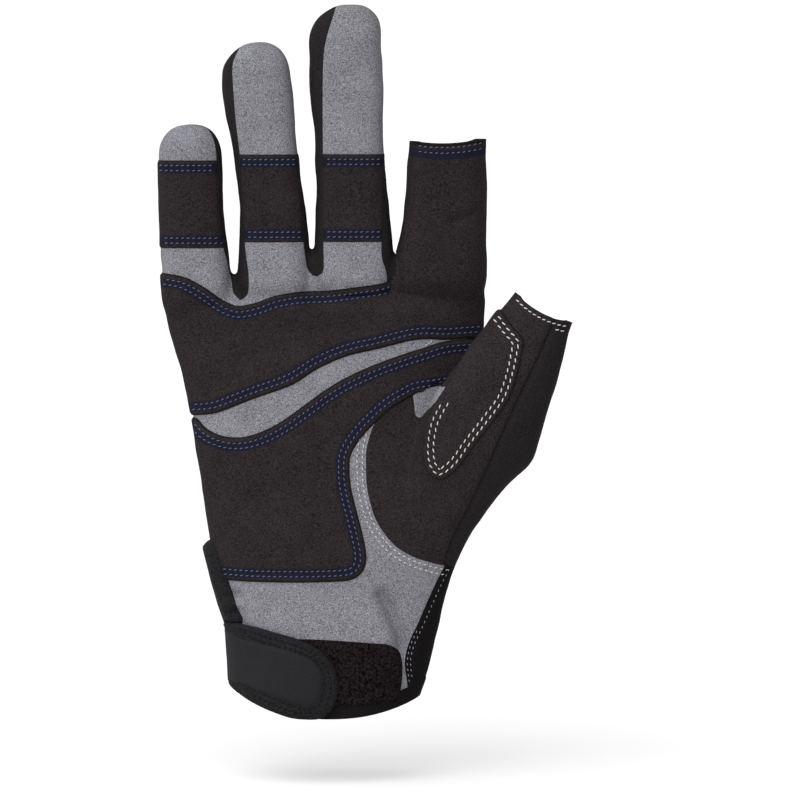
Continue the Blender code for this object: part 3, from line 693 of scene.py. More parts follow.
def finger_ring(name, height, shrink=1.0):
    """Outline of a finger at a height; below its foot it narrows into the hand."""
    f = FINGERS[name]
    left, right = table_row(f["edges"], height)
    share = np.clip((height - f["foot"]) / f["length"], 0.0, 1.0)
    curl = FINGER_CURL * share**2 * f["length"] / LONGEST
    half = FINGER_DEPTH / 2 + (f["depth"] - FINGER_DEPTH) / 2 * share
    root = 0.5 + 0.5 * smoothstep(-FINGER_ROOT, 0.0, height - f["foot"])
    half_width = (right - left) / 2 * shrink * (0.5 + 0.5 * root)
    centre = ((left + right) / 2, -curl, height)
    return oval(centre, (1, 0, 0), half_width, half * shrink * root, FINGER_SQUARENESS, 80)


def finger_rings(name):
    """Outlines up a finger, closing in a dome where it has a tip."""
    f = FINGERS[name]
    top = f["dome"]
    step = 1.2
    rings = [finger_ring(name, h) for h in np.append(np.arange(f["foot"] - FINGER_ROOT, top, step), top)]
    dome = f["foot"] + f["length"] - top
    if dome > 0:
        for turn in np.radians(np.arange(7, 89, 7.0)):
            rings.append(finger_ring(name, top + dome * math.sin(turn), math.cos(turn) ** 0.9))
    return rings


def thumb_parts(co):
    """Distance down the thumb's axis, place across it from -1 to 1, and how far out of its oval."""
    rel = co - THUMB_TIP
    down = -(rel @ THUMB_UP)
    rows = np.array(THUMB)
    width, depth, forward, shift = (np.interp(down, rows[:, 0], rows[:, k]) for k in (1, 2, 3, 4))
    u = (rel @ THUMB_ACROSS - shift) / (width / 2)
    v = (co[:, 1] + forward) / (depth / 2)
    out = (np.abs(u) ** HAND_SQUARENESS + np.abs(v) ** HAND_SQUARENESS) ** (1 / HAND_SQUARENESS)
    return down, u, out


def thumb_rim(co):
    """How far below the thumb's hollowed open edge a point lies."""
    down, across, _ = thumb_parts(co)
    return down + THUMB_RIM_RISE - THUMB_RIM_DIP * (1 - np.clip(across, -1, 1) ** 2)


def index_rim(co):
    """How far below the index finger's open edge a point lies; the edge dips between its corners."""
    across = (co[:, 0] - INDEX_MIDDLE) / INDEX_HALF
    return INDEX_RIM + INDEX_RIM_RISE * across**2 + INDEX_RIM_TILT * across - co[:, 2]


def glove_surface():
    """Hand, fingers, thumb and the webs between the fingers as one skin, with the folds of the fabric."""
    bm = bmesh.new()
    rings = []
    for height in np.append(np.arange(HAND[0][0], HAND[-1][0], RING_STEP), HAND[-1][0]):
        left, right, front, back = table_row(HAND, height)
        centre = ((left + right) / 2, (back - front) / 2, height)
        rings.append(oval(centre, (1, 0, 0), (right - left) / 2, (front + back) / 2, HAND_SQUARENESS, 120))
    add_rings(bm, rings)
    rings = []
    for down in np.arange(THUMB[0][0], THUMB[-1][0] + 0.01, RING_STEP):
        width, depth, forward, shift = table_row(THUMB, down)
        centre = THUMB_TIP - THUMB_UP * down + THUMB_ACROSS * shift
        centre[1] = -forward
        rings.append(oval(centre, THUMB_ACROSS, width / 2, depth / 2, HAND_SQUARENESS, 72))
    add_rings(bm, rings)
    for name in FINGERS:
        add_rings(bm, finger_rings(name))
    for line, top in zip(FINGER_PARTINGS, WEB_TOPS):
        rings = []
        x = line[1][1]
        for height, size in ((WEB_FOOT, 1.0), (top - 4, 1.0), (top - 1.5, 0.85), (top, 0.5)):
            half_width, half_depth = WEB_HALF_WIDTH * size, WEB_HALF_DEPTH * size
            rings.append(oval((x, 0.0, height), (1, 0, 0), half_width, half_depth, 2.2, 24))
        add_rings(bm, rings)
    mesh = bpy.data.meshes.new("glove")
    bm.to_mesh(mesh)
    bm.free()
    made = bpy.data.objects.new("glove", mesh)
    bpy.context.scene.collection.objects.link(made)
    remesh = made.modifiers.new("remesh", "REMESH")
    remesh.mode = "VOXEL"
    remesh.voxel_size = VOXEL * MM
    ease = made.modifiers.new("ease", "SMOOTH")
    ease.factor = 0.5
    ease.iterations = 6
    bpy.context.view_layer.update()
    graph = bpy.context.evaluated_depsgraph_get()
    surface = Surface.of_mesh(bpy.data.meshes.new_from_object(made.evaluated_get(graph)))
    bpy.data.objects.remove(made, do_unlink=True)
    surface.co = surface.co + surface.no * unevenness(surface.co)[:, None]
    return Surface.of_mesh(surface.mesh())


def unevenness(co):
    """How far the fabric stands off its plain shape: a slow wave, small dents and the palm's folds."""
    off = np.zeros(len(co))
    for height, span in (WAVE, DENTS):
        off += np.array([height * noise.noise(Vector(p) / span) for p in co.tolist()])
    faded = smoothstep(*FOLD_FADE, co[:, 0]) * (co[:, 1] < FOLD_FRONT)
    for points, depth, half in FOLDS:
        line = np.array(points, float)
        distance = to_line(line[:-1], line[1:], 3 * half)(co)
        off -= depth * np.exp(-(distance / half) ** 2) * faded
    return off


def past_parting(k, co):
    """How far to the right of a line between two fingers a point lies."""
    height, place = zip(*FINGER_PARTINGS[k])
    return co[:, 0] - np.interp(co[:, 2], height, place)


def column_of(co):
    """Which finger's column a point is in, counted from the little finger."""
    return sum((past_parting(k, co) > 0).astype(int) for k in range(3))


def foot_line(co):
    """Height of the finger's foot in a point's column."""
    return np.array([FINGERS[name]["foot"] for name in FINGERS])[column_of(co)]


GREY = {name: depth_in(curve(points, closed=True)) for name, points in FINGER_FRONT.items()}


def grey_area(co):
    """How far inside the nearest grey finger front a point lies."""
    return np.maximum.reduce([measure(co) for measure in GREY.values()])


def low_bend(name):
    """The blend from the hand to a finger, over the fold at its foot."""
    f = FINGERS[name]
    body = "index" if name == "index" else f"{name}_lower"
    centre = sum(f["edges"][0][1:]) / 2
    return "hand", body, (centre, 0, f["foot"]), (centre, 0, f["foot"] + FOOT_REACH)


def build_index(surface):
    """The index finger, cut short: padded front, stretch back and the fold of its hem."""
    top = PAD_HEIGHT + PAD_BOTTOM + PAD_EDGE
    surface = cut(surface, lambda co: PALM_SPLIT - co[:, 1])
    place = surface.centres()
    wall = (index_rim(place) > 0) & (place[:, 0] < INDEX_LIMIT)
    front = wall & (place[:, 1] < PALM_SPLIT)
    rise = top * np.sqrt(np.clip((PALM_SPLIT - surface.co[:, 1]) * SPLIT_RISE, 0, 1))
    # Marks: distance below the open edge, for the bluish band by the hem rows and the painted shade at the
    # edge itself
    marks = np.clip(index_rim(surface.co) - BAND_SHIFT, 0, MARK_REACH)
    made = shell("index_front", surface, front, rise, -FABRIC, "pad", marks=marks)
    settle(made, "pad", bend=low_bend("index"), stands_for=["index_front_lower"])
    made = shell("index_back", surface, wall & ~front, 0.0, -FABRIC, "stretch")
    settle(made, "stretch", bend=low_bend("index"),
           stands_for=["index_back_lower", "index_side_lower_left", "index_side_lower_right"])
    hem = wall & (index_rim(place) < INDEX_HEM)
    made = shell("index_hem_fold", surface, hem, HEM_OUTER, HEM_INNER, "stretch")
    settle(made, "stretch", ride="index", stands_for=["index_hem"])


def build_finger(name, surface):
    """A full finger: grey front and stretch sides, split where its patch starts, and the patch."""
    f = FINGERS[name]
    foot = f["foot"]
    centre = sum(f["edges"][0][1:]) / 2
    middle = -FINGER_CURL * MEAN_CURL * f["length"] / LONGEST
    split = foot + f["patch"]

    def front_field(co):
        return np.minimum(GREY[name](co), middle - co[:, 1])

    surface = cut(surface, front_field)
    surface = cut(surface, lambda co: co[:, 2] - split)
    place = surface.centres()
    front = front_field(place) > 0
    low = place[:, 2] < split
    fold = foot + f["fold"]
    fold_ends = ((centre, 0, fold - FOLD_REACH), (centre, 0, fold + FOLD_REACH))
    high_bend = (f"{name}_lower", f"{name}_upper", *fold_ends)
    low_sides = [f"{name}_{word}" for word in ("back_lower", "side_lower_left", "side_lower_right")]
    for word, keep, look, bend, nodes in (
        ("front_foot", front & low, "suede", low_bend(name), [f"{name}_front_lower"]),
        ("sides_foot", ~front & low, "stretch", low_bend(name), [*low_sides, WEBS[name]]),
        ("front_tip", front & ~low, "suede", high_bend, [f"{name}_front_upper"]),
        ("sides_tip", ~front & ~low, "stretch", high_bend, [f"{name}_back_upper", f"{name}_side_upper"]),
    ):
        made = shell(f"{name}_{word}", surface, keep, 0.0, -FABRIC, look)
        settle(made, look, bend=bend, stands_for=nodes)
    end = split + PATCH_LENGTH
    patched = cut(surface, lambda co: end - co[:, 2])
    place = patched.centres()
    keep = (front_field(place) > 0) & (place[:, 2] > split) & (place[:, 2] < end)
    edge = np.minimum(patched.co[:, 2] - split, end - patched.co[:, 2])
    roll = 0.9
    inward = np.minimum(edge, front_field(patched.co))
    height = PATCH_EDGE + PATCH_HEIGHT * np.sqrt(np.clip(inward / roll, 0, 1))
    # Marks: distance from the patch's ends, for the bluish band by the thread rows and painted shade at the
    # ends
    marks = np.clip(edge + BAND_SHIFT, 0, MARK_REACH)
    made = shell(f"{name}_patch", patched, keep, height, PATCH_BOTTOM, "pad", marks=marks)
    settle(made, "pad", bend=high_bend, stands_for=[f"{name}_patch_lower", f"{name}_patch_upper"])
    tree = tree_of(made)
    across = np.linspace(f["edges"][0][1] - 8, f["edges"][0][2] + 4, 80)
    for word, start, way, body in (("low", split, 1, "lower"), ("high", end, -1, "upper")):
        rows = [np.stack((across, np.full(80, start + way * h)), axis=1) for h in PATCH_ROWS]
        stitches(f"{name}_patch_stitches_{word}", rows, tree, "blue", ride=f"{name}_{body}")


# Closed outlines of the panels: a seam, then corners well outside the panel
UPPER_PAD = np.concatenate((curve(UPPER_PAD_TOP), ((24.6, 162), (62, 162)), curve(UPPER_PAD_FOOT)))
LOWER_PAD = np.concatenate((curve(LOWER_PAD_TOP), curve(LOWER_PAD_SIDE)))
THUMB_PANEL = np.concatenate((curve(THUMB_PANEL_EDGE), ((100, 45), (100, 150), (56, 150), (47, 126))))
THUMB_OUTSIDE = np.concatenate((curve(THUMB_SEAM), ((110, 40), (110, 150))))
SIDE_PANEL = np.concatenate((curve(SIDE_PANEL_EDGE), ((70, -10), (70, 55))))


def rim_height(x):
    """Lower edge of the cuff: lowest in the middle, rising to both sides."""
    aside = np.clip(np.abs((x - CUFF_MIDDLE) / CUFF_HALF), 0, 1.2)
    return np.where(x < CUFF_MIDDLE, *CUFF_RISES) * aside**2.2


def build_hand(surface):
    """The fabric of the hand and thumb, in panels along their seams."""
    thumb_panel = depth_in(THUMB_PANEL)
    thumb_outside = depth_in(THUMB_OUTSIDE)
    side_panel = depth_in(SIDE_PANEL)

    def on_palm(measure):
        return lambda co: np.where(co[:, 1] < PALM_SPLIT, measure(co), -1.0)

    def finger_fronts(co):
        return np.where(co[:, 2] > WEB_FOOT, grey_area(co), 1.0)

    surface = cut(surface, lambda co: PALM_SPLIT - co[:, 1])
    for measure in (thumb_panel, thumb_outside, side_panel, finger_fronts):
        surface = cut(surface, on_palm(measure))
    place = surface.centres()
    down, _, out = thumb_parts(place)
    on_thumb = (out < THUMB_SKIN_OUT) & (down < THUMB_SKIN_END)
    past_thumb = (thumb_rim(place) < 0) & (on_thumb | (place[:, 0] > THUMB_LIMIT))
    there = (place[:, 2] > rim_height(place[:, 0])) & ~past_thumb
    palm = place[:, 1] < PALM_SPLIT
    outside = (thumb_outside(place) > 0) & palm
    panel = (thumb_panel(place) > 0) & palm
    side_top = 54.0
    side = (side_panel(place) > 0) & palm & ~panel & (place[:, 2] < side_top)
    groups = {
        "thumb_front_skin": on_thumb & ~outside,
        "thumb_back_skin": on_thumb & outside,
        "thumb_gusset_skin": ~on_thumb & panel & ~outside,
        "thumb_outer_skin": ~on_thumb & panel & outside,
        "wrist_side_skin": ~on_thumb & side,
        "back_skin": ~on_thumb & ~palm,
    }
    taken = np.logical_or.reduce(list(groups.values()))
    index_start = 24.0
    web = (place[:, 2] > WEB_FOOT + 2) & (grey_area(place) < 0) & (place[:, 0] < index_start)
    groups["web_skin"] = ~taken & web
    groups["palm_skin"] = ~taken & ~web
    looks = {
        "palm_skin": "suede",
        "thumb_front_skin": "black",
        "thumb_gusset_skin": "black",
        # The wrist side panel takes the darker knit: painted shade, as it faces away from the light
        "wrist_side_skin": "side",
    }
    stand_ins = {
        "thumb_front_skin": "thumb_front",
        "thumb_back_skin": "thumb_back",
        "thumb_gusset_skin": "thumb_gusset",
        "thumb_outer_skin": "thumb_outer",
        "wrist_side_skin": "wrist_side_panel",
        "back_skin": "back_panel",
        "palm_skin": "palm_suede",
    }
    fold_start = THUMB_TIP - THUMB_UP * (THUMB_FOLD + FOLD_REACH)
    fold_end = THUMB_TIP - THUMB_UP * (THUMB_FOLD - FOLD_REACH)
    thumb_bend = ("hand", "thumb", fold_start, fold_end)
    far = 9.0
    seam = np.where(surface.co[:, 1] < PALM_SPLIT, np.abs(thumb_outside(surface.co)), far)
    seam_dip = 0.9
    pressed = -seam_dip * np.exp(-seam**2)
    for name, keep in groups.items():
        look = looks.get(name, "stretch")
        # On the thumb's pieces the marks are the distance from its seam: the black suede gets painted shade
        # along the seam
        top, marks = (pressed, np.clip(seam, 0, MARK_REACH)) if "thumb" in name else (0.0, None)
        made = shell(name, surface, keep & there, top, -FABRIC, look, marks=marks)
        stands_for = [stand_ins[name]] if name in stand_ins else []
        if name in ("thumb_front_skin", "thumb_back_skin"):
            settle(made, look, bend=thumb_bend, stands_for=stands_for)
        else:
            settle(made, look, ride="hand", stands_for=stands_for)
    hem = there & on_thumb & (down < THUMB_HEM)
    made = shell("thumb_hem_fold", surface, hem, HEM_OUTER, HEM_INNER, "stretch")
    settle(made, "stretch", ride="thumb", stands_for=["thumb_hem"])
    return thumb_bend


def build_pad(name, base, outline, height, look, nodes=(), bend=None, where=None):
    """Piece sewn on over the glove's own fabric, inside an outline and on the chosen side."""
    measure = depth_in(outline)
    where = where or (lambda co: PALM_SPLIT - co[:, 1])

    def field(co):
        return np.minimum(measure(co), where(co))

    surface = cut(base, field)
    keep = field(surface.centres()) > 0
    edge = measure(surface.co)
    rise = np.sqrt(np.clip(np.minimum(edge, where(surface.co) * SPLIT_RISE), 0, 1))
    # From this corner on, the upper pad runs on to the index finger without an edge
    corner_x, corner_z = 22.4, 138.0
    runs_on = (surface.co[:, 0] > corner_x) & (surface.co[:, 2] > corner_z)
    # Marks: distance inside the outline, for the bluish band and the painted edge shade of the black pieces
    marks = np.where(runs_on, MARK_REACH, np.clip(edge, 0, MARK_REACH))
    made = shell(name, surface, keep, PAD_BOTTOM + PAD_EDGE + height * rise, PAD_BOTTOM, look, marks=marks)
    settle(made, look, ride=None if bend else "hand", bend=bend, stands_for=nodes)
    return made


def not_thumb(co):
    """Below zero on the thumb's own fabric."""
    down, _, out = thumb_parts(co)
    return np.where((out < THUMB_SKIN_OUT) & (down < THUMB_SKIN_END - 1), -1.0, 1.0)


def palm_front(co):
    """Above zero on the front of the hand, off the thumb."""
    return np.minimum(not_thumb(co), PALM_SPLIT - co[:, 1])


def thumb_face(co):
    """Above zero on the front of the thumb."""
    down, _, out = thumb_parts(co)
    rows = np.array(THUMB)
    forward = np.interp(down, rows[:, 0], rows[:, 3])
    return np.where((out < 1.5) & (down > 0.2), 1.0 - forward - co[:, 1], -1.0)


def row_points(line, pitch, length):
    """Start and end of each stitch along a run of (x, z) points."""
    steps = np.linalg.norm(np.diff(line, axis=0), axis=1)
    along = np.concatenate(((0.0,), np.cumsum(steps)))
    made = []
    for start in np.arange(pitch / 2, along[-1] - length, pitch):
        ends = (start, start + length)
        a, b = (np.array([np.interp(s, along, line[:, k]) for k in (0, 1)]) for s in ends)
        aside = np.array((a[1] - b[1], b[0] - a[0])) * SLANT
        made.append((a - aside, b + aside))
    return made


def beside(line, distance):
    """A run of points moved sideways, to the left of its direction."""
    way = np.gradient(line, axis=0)
    way /= np.maximum(np.linalg.norm(way, axis=1), 1e-9)[:, None]
    return line + distance * np.stack((-way[:, 1], way[:, 0]), axis=1)


def between(line, low_x, high_x, low_z=-20.0):
    """The points of a run between two x and above a height."""
    return line[(line[:, 0] > low_x) & (line[:, 0] < high_x) & (line[:, 1] > low_z)]


def add_stitch(bm, a, b, normal, radius):
    """One short bar of thread that dips into the fabric at both ends."""
    along = (b - a).normalized()
    across = along.cross(normal).normalized()
    middle = (a + b) / 2
    half = (b - a).length / 2
    sides = 6
    end_size, end_lift = 0.45, -0.12
    body_share, body_lift = 0.55, 0.08
    rings = []
    for share, size, lift in (
        (-1.0, end_size, end_lift), (-body_share, 1.0, body_lift),
        (body_share, 1.0, body_lift), (1.0, end_size, end_lift),
    ):
        ring = []
        for k in range(sides):
            turn = 2 * math.pi * k / sides
            out = across * math.cos(turn) + normal * math.sin(turn)
            point = middle + along * half * share + normal * lift + out * radius * size
            ring.append(bm.verts.new(point * MM))
        rings.append(ring)
    for low, high in zip(rings, rings[1:]):
        for k in range(sides):
            following = (k + 1) % sides
            bm.faces.new((low[k], low[following], high[following], high[k]))
    bm.faces.new(rings[0])
    bm.faces.new(rings[-1])


def stitches(name, rows, tree, look, pitch=1.85, length=1.05, radius=0.17, **place):
    """Rows of thread lying on whatever is met first from the palm side."""
    in_front = -90.0
    facing = -0.2
    bm = bmesh.new()
    for line in rows:
        for ends in row_points(line, pitch, length):
            hits = [tree.ray_cast(Vector((p[0], in_front, p[1])), Vector((0, 1, 0))) for p in ends]
            if any(h[0] is None or h[1].y > facing for h in hits):
                continue
            a, b = hits[0][0], hits[1][0]
            if (b - a).length < 2.2 * length:
                add_stitch(bm, a, b, (hits[0][1] + hits[1][1]).normalized(), radius)
    bmesh.ops.recalc_face_normals(bm, faces=bm.faces)
    mesh = bpy.data.meshes.new(name)
    bm.to_mesh(mesh)
    bm.free()
    mesh.polygons.foreach_set("use_smooth", [True] * len(mesh.polygons))
    made = bpy.data.objects.new(name, mesh)
    bpy.context.scene.collection.objects.link(made)
    mesh.materials.append(LOOKS[look])
    settle(made, look, **place)


def tree_of(*objects):
    """Pieces in a form that tells where a ray meets them, in mm."""
    points, faces = [], []
    for made in objects:
        start = len(points)
        points += [v.co / MM for v in made.data.vertices]
        faces += [tuple(i + start for i in p.vertices) for p in made.data.polygons]
    return BVHTree.FromPolygons(points, faces)


def build_strap(base):
    """The wrist strap with its cover and hooks, its loop patch, and its base round the hand's edge."""
    pile = 1.1
    build_pad("loop_pile_patch", base, curve(LOOP_PATCH, closed=True), pile, "loop", ["loop_patch"])
    edge_line = curve(STRAP_EDGE, closed=True)
    field_line = curve(STRAP_FIELD, closed=True)
    edge = depth_in(edge_line)
    field = depth_in(field_line)
    bend = ("hand", "strap", *STRAP_BEND)

    def fore(co):
        return np.minimum(edge(co), STRAP_HINGE - co[:, 1])

    surface = cut(base, fore)
    band = fore(surface.centres()) > 0
    rim = np.clip(edge(surface.co), 0, 9)
    groove_depth, groove_half = 0.35, 0.5
    groove = groove_depth * np.exp(-((rim - STRAP_GROOVE) / groove_half) ** 2)
    top = STRAP_LIFT + STRAP_THICKNESS * np.sqrt(np.clip(rim, 0.02, 1)) - groove
    web = shell("strap_web", surface, band, top, STRAP_LIFT, "band")
    settle(web, "band", bend=bend, stands_for=["strap_band"])

    cover_hinge = STRAP_HINGE - 3.0
    cover_start = 31.0

    def face(co):
        return np.minimum(np.minimum(field(co), cover_hinge - co[:, 1]), co[:, 0] + cover_start)

    inner = cut(base, face)
    keep = face(inner.centres()) > 0
    cover_height, cover_roll = 0.35, 0.8
    rise = cover_height * np.sqrt(np.clip(face(inner.co) / cover_roll, 0, 1))
    made = shell("strap_face", inner, keep, STRAP_LIFT + STRAP_THICKNESS + rise, STRAP_LIFT + 1.3, "cover")
    settle(made, "cover", bend=bend, stands_for=["strap_cover"])
    place = surface.centres()
    # Hooks only where the strap lies over the loop patch, inside its edge
    hooked = band & (edge(place) > 2.0) & (place[:, 1] < -11)
    made = shell("strap_hooks", surface, hooked, STRAP_LIFT - 0.05, STRAP_LIFT - 0.4, "loop")
    settle(made, "loop", ride="strap", stands_for=["strap_hook"])
    edge_loop = np.concatenate((edge_line, edge_line[:1]))
    field_loop = np.concatenate((field_line, field_line[:1]))
    rows = [between(beside(edge_loop, -STRAP_GROOVE), -31, 10), between(beside(field_loop, 0.9), -30, 10)]
    stitches("strap_stitches", rows, tree_of(web), "dark", pitch=1.8, length=1.2, radius=0.2, bend=bend)

    front = depth_in(curve(STRAP_BASE_FRONT, closed=True))
    back = depth_in(curve(STRAP_BASE_BACK, closed=True))

    def whole(co):
        low_front = np.minimum(edge(co), co[:, 1] - STRAP_HINGE)
        return np.where(co[:, 1] < 0.0, np.maximum(front(co), low_front), back(co))

    surface = cut(base, whole)
    keep = whole(surface.centres()) > 0
    inside = np.clip(whole(surface.co), 0, 9)
    # A rolled edge, a little lower inside it, thinning out towards the middle of the back
    rise = 0.2 + 3.5 * np.sqrt(np.clip(inside / 1.4, 0.02, 1)) - 0.7 * smoothstep(1.6, 3.0, inside)
    rise *= 1 - 0.55 * smoothstep(-36.0, -10.0, surface.co[:, 0])
    # Under the strap the base stays low, and it comes up past the strap's edge
    tucked = 1.1 + 6.0 * np.clip(-edge(surface.co) / 1.6, 0, 1)
    rise = np.where(surface.co[:, 1] < STRAP_HINGE, np.minimum(rise, tucked), rise)
    made = shell("strap_root", surface, keep, rise, 0.05, "band")
    settle(made, "band", ride="hand", stands_for=["strap_base"])


def build_cuff(base):
    """The tape round the hand opening and the elastic inside the wrist."""
    tape = cut(base, lambda co: co[:, 2] - rim_height(co[:, 0]))
    tape = cut(tape, lambda co: rim_height(co[:, 0]) + CUFF_TAPE - co[:, 2])
    place = tape.centres()
    above = place[:, 2] - rim_height(place[:, 0])
    keep = (above > 0) & (above < CUFF_TAPE)
    up = tape.co[:, 2] - rim_height(tape.co[:, 0])
    rise = 0.08 + 0.3 * np.sqrt(np.clip(np.minimum(up + 0.3, CUFF_TAPE - up) / 0.9, 0, 1))
    made = shell("cuff_tape", tape, keep, rise, 0.03, "side")
    settle(made, "side", ride="hand", stands_for=["cuff_binding"])
    place = base.centres()
    level = np.abs(place[:, 2] - WRIST_ELASTIC) < WRIST_ELASTIC_HALF
    keep = level & (place[:, 0] < 0) & (place[:, 1] < 0)
    made = shell("wrist_gather_tape", base, keep, -FABRIC - 0.2, -FABRIC - 1.2, "stretch")
    settle(made, "stretch", ride="hand", stands_for=["wrist_elastic"])


def thumb_row(start, end, down):
    """Run of (x, z) points across the thumb at a distance below its open edge."""
    across = np.linspace(start, end, 30)
    below = down - THUMB_RIM_RISE + THUMB_RIM_DIP * (1 - across**2)
    aside = 0.6 + across * THUMB_RIM_HALF
    place = THUMB_TIP - below[:, None] * THUMB_UP + aside[:, None] * THUMB_ACROSS
    return place[:, (0, 2)]


def sew(pads, patch, thumb_bend):
    """The rows of thread along the seams of the palm, the wrist, the thumb and the index finger."""
    objects = bpy.data.objects
    # Palm pads: two rows inside each edge, up to an x where the edge ends
    rows = []
    left = -58
    for points, right in (
        (UPPER_PAD_TOP, 23), (UPPER_PAD_FOOT, 53), (LOWER_PAD_TOP, 53), (LOWER_PAD_SIDE, 44),
    ):
        for inward in (2.0, 3.7):
            rows.append(between(beside(curve(points), -inward), left, right))
    stitches("palm_pad_stitches", rows, tree_of(*pads), "blue", ride="hand")
    # Thumb panel: two rows on the grey palm beside it
    edge = between(curve(THUMB_PANEL_EDGE), 10, 43.2, 48)
    edge = edge[edge[:, 1] < 97]
    rows = [beside(edge, -1.2), beside(edge, -3.0)]
    skin = tree_of(objects["palm_skin"], objects["wrist_side_skin"])
    stitches("thumb_panel_stitches", rows, skin, "white", pitch=1.9, length=1.0, radius=0.17, ride="hand")
    # Wrist side panel: one row along it, and a second one low down
    edge = curve(SIDE_PANEL_EDGE)
    side = tree_of(objects["wrist_side_skin"])
    rows = [beside(edge[edge[:, 1] > 12], 1.9), beside(edge[(edge[:, 1] < 31) & (edge[:, 1] > 10)], 0.8)]
    stitches("wrist_side_stitches", rows, side, "pale", pitch=1.9, length=0.9, radius=0.13, ride="hand")
    # Thumb: two rows inside its patch, one along its open edge and a short second one
    line = curve(THUMB_PATCH[THUMB_PATCH_SEWN[0]:THUMB_PATCH_SEWN[1]])
    rows = [beside(line, -1.8), beside(line, -3.6)]
    stitches("thumb_patch_stitches", rows, tree_of(patch), "white", pitch=2.35, length=1.5, radius=0.2,
             bend=thumb_bend)
    thumb = tree_of(objects["thumb_front_skin"], objects["thumb_back_skin"])
    rows = [thumb_row(-0.94, 0.96, 1.4), thumb_row(0.5, 0.96, 3.2)]
    stitches("thumb_rim_stitches", rows, thumb, "white", pitch=1.8, length=1.3, radius=0.18, ride="thumb")
    # A tack where the two palm pads meet
    rows = [np.array(((33.4, 124.8), (34.7, 125.8), (36.2, 126.8)))]
    stitches("pad_seam_tack", rows, skin, "white", pitch=1.0, length=0.9, radius=0.17, ride="hand")
    # Index finger: two rows below its open edge
    across = np.linspace(30.5, 53, 60)
    place = np.stack((across, np.zeros(60), np.zeros(60)), axis=1)
    rows = [np.stack((across, index_rim(place) - h), axis=1) for h in (1.1, 3.0)]
    stitches("index_hem_stitches", rows, tree_of(objects["index_front"]), "blue", ride="index")


def build_glove():
    """One skin, parted into the hand and its fingers, and every piece made from it."""
    whole = glove_surface()
    for k in range(3):
        whole = cut(whole, lambda co: past_parting(k, co))
    whole = cut(whole, lambda co: foot_line(co) - co[:, 2])
    place = whole.centres()
    column = column_of(place)
    above = place[:, 2] > foot_line(place)
    fingers = {name: whole.part(above & (column == k)) for k, name in enumerate(FINGERS)}
    base = whole.part(~above)
    rimmed = cut(cut(base, lambda co: co[:, 2] - rim_height(co[:, 0])), thumb_rim)
    thumb_bend = build_hand(rimmed)
    upper, lower = ["palm_pad_upper"], ["palm_pad_lower"]
    pads = [
        build_pad("upper_palm_pad", base, UPPER_PAD, PAD_HEIGHT, "pad", upper, where=palm_front),
        build_pad("lower_palm_pad", base, LOWER_PAD, PAD_HEIGHT, "pad", lower, where=palm_front),
        build_pad("pinky_palm_pad", fingers["pinky"], UPPER_PAD, PAD_HEIGHT, "pad", bend=low_bend("pinky")),
    ]
    build_pad("thumb_corner", base, curve(THUMB_CORNER, closed=True), 0.25, "suede")
    patch = build_pad("thumb_grip_patch", base, curve(THUMB_PATCH, closed=True), PAD_HEIGHT, "black",
                      ["thumb_patch_lower", "thumb_patch_upper"], bend=thumb_bend, where=thumb_face)
    wrist = base.part(base.centres()[:, 2] < WRIST_TOP)
    build_strap(wrist)
    build_cuff(wrist)
    build_index(cut(fingers["index"], index_rim))
    for name in ("pinky", "ring", "middle"):
        build_finger(name, fingers[name])
    sew(pads, patch, thumb_bend)


def build_floor():
    """Pale floor, bright where the camera sees it."""
    mesh = bpy.data.meshes.new("floor")
    bm = bmesh.new()
    tilt = math.radians(4.5)
    drop = 20.5
    bmesh.ops.create_grid(bm, x_segments=1, y_segments=1, size=8.0)
    bmesh.ops.rotate(bm, verts=bm.verts, matrix=Matrix.Rotation(tilt, 3, "X"))
    bmesh.ops.translate(bm, verts=bm.verts, vec=(0, 0, -drop * MM))
    bm.to_mesh(mesh)
    bm.free()
    floor = bpy.data.objects.new("floor", mesh)
    bpy.context.scene.collection.objects.link(floor)
    look = bpy.data.materials.new("floor")
    look.use_nodes = True
    tree = look.node_tree
    tree.nodes.clear()
    pale = node(tree, "ShaderNodeBsdfDiffuse", (("Color", (0.8, 0.8, 0.8, 1)),))
    bright = node(tree, "ShaderNodeBsdfDiffuse", (("Color", (1.15, 1.15, 1.15, 1)),))
    glow = node(tree, "ShaderNodeEmission", (("Color", (1, 1, 1, 1)), ("Strength", 1.0)))
    halves = ((1, glow.outputs[0]), (2, bright.outputs[0]))
    seen = node(tree, "ShaderNodeMixShader", (("Fac", 0.5),), halves)
    path = node(tree, "ShaderNodeLightPath")
    mix = node(tree, "ShaderNodeMixShader", (), ((0, path.outputs["Is Camera Ray"]), (1, pale.outputs[0]),
                                                (2, seen.outputs[0])))
    node(tree, "ShaderNodeOutputMaterial", (), (("Surface", mix.outputs[0]),))
    mesh.materials.append(look)


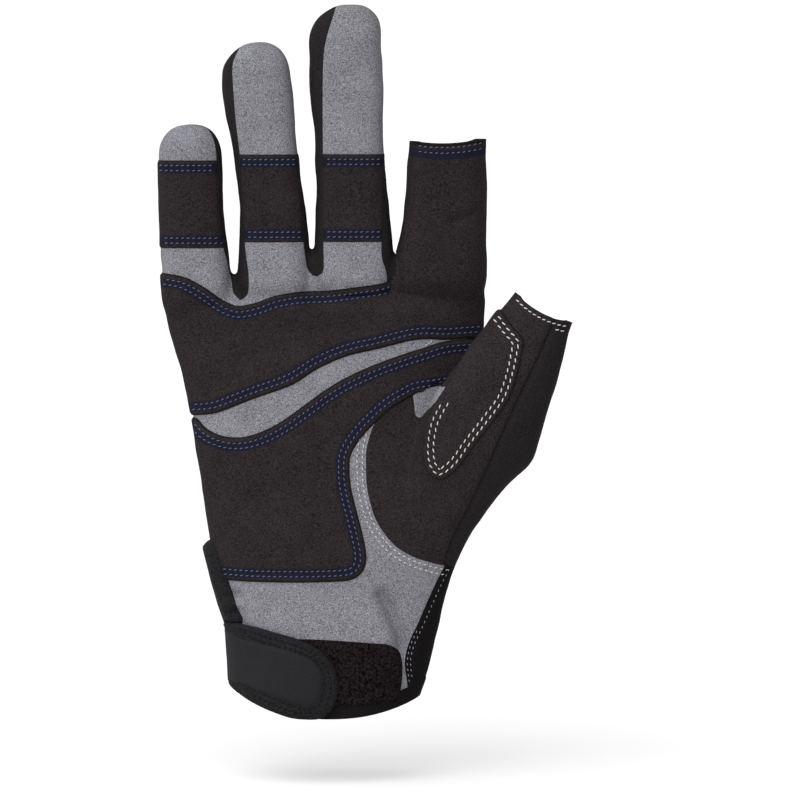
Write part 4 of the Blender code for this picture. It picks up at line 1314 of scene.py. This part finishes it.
def build_stage():
    """Floor, soft light from the upper left, and the camera at the photograph's angle."""
    build_floor()
    world = bpy.data.worlds.new("studio")
    world.use_nodes = True
    tree = world.node_tree
    tree.nodes.clear()
    way = node(tree, "ShaderNodeTexCoord").outputs["Generated"]
    towards_key = (-0.7, -0.57, 0.43)
    key = node(tree, "ShaderNodeVectorMath", ((1, towards_key),), ((0, way),), operation="DOT_PRODUCT")
    whole = (("From Min", -1.0), ("From Max", 1.0), ("To Min", 0.0), ("To Max", 1.0))
    strength = node(tree, "ShaderNodeMapRange", whole, (("Value", key.outputs["Value"]),))
    focus = node(tree, "ShaderNodeMath", ((1, 2.0),), ((0, strength.outputs[0]),), operation="POWER")
    span_and_least = ((1, 1.5), (2, 0.05))
    level = node(tree, "ShaderNodeMath", span_and_least, ((0, focus.outputs[0]),), operation="MULTIPLY_ADD")
    soft = node(tree, "ShaderNodeBackground", (("Color", (1, 1, 1, 1)),), (("Strength", level.outputs[0]),))
    white = node(tree, "ShaderNodeBackground", (("Color", (1, 1, 1, 1)), ("Strength", 1.0)))
    path = node(tree, "ShaderNodeLightPath")
    mix = node(tree, "ShaderNodeMixShader", (), ((0, path.outputs["Is Camera Ray"]), (1, soft.outputs[0]),
                                                (2, white.outputs[0])))
    node(tree, "ShaderNodeOutputWorld", (), (("Surface", mix.outputs[0]),))
    bpy.context.scene.world = world
    sun = bpy.data.lights.new("key", "SUN")
    sun.energy = 0.9
    sun.angle = math.radians(40)
    lamp = bpy.data.objects.new("key", sun)
    lamp.rotation_euler = Vector((0.22, 0.5, -0.84)).to_track_quat("-Z", "Y").to_euler()
    bpy.context.scene.collection.objects.link(lamp)
    camera = bpy.data.cameras.new("camera")
    camera.sensor_width = 36.0
    distance = 5000.0
    view_width = 268.8
    camera.lens = camera.sensor_width * distance / view_width
    camera.clip_end = 100.0
    eye = bpy.data.objects.new("camera", camera)
    lift = math.radians(2.0)
    target = Vector((25.2, -10.0, 106.8))
    place = target + Vector((0, -math.cos(lift), math.sin(lift))) * distance
    eye.location = place * MM
    eye.rotation_euler = (target - place).to_track_quat("-Z", "Y").to_euler()
    bpy.context.scene.collection.objects.link(eye)
    bpy.context.scene.camera = eye
    bpy.context.scene.view_settings.view_transform = "Standard"


build_glove()
build_stage()
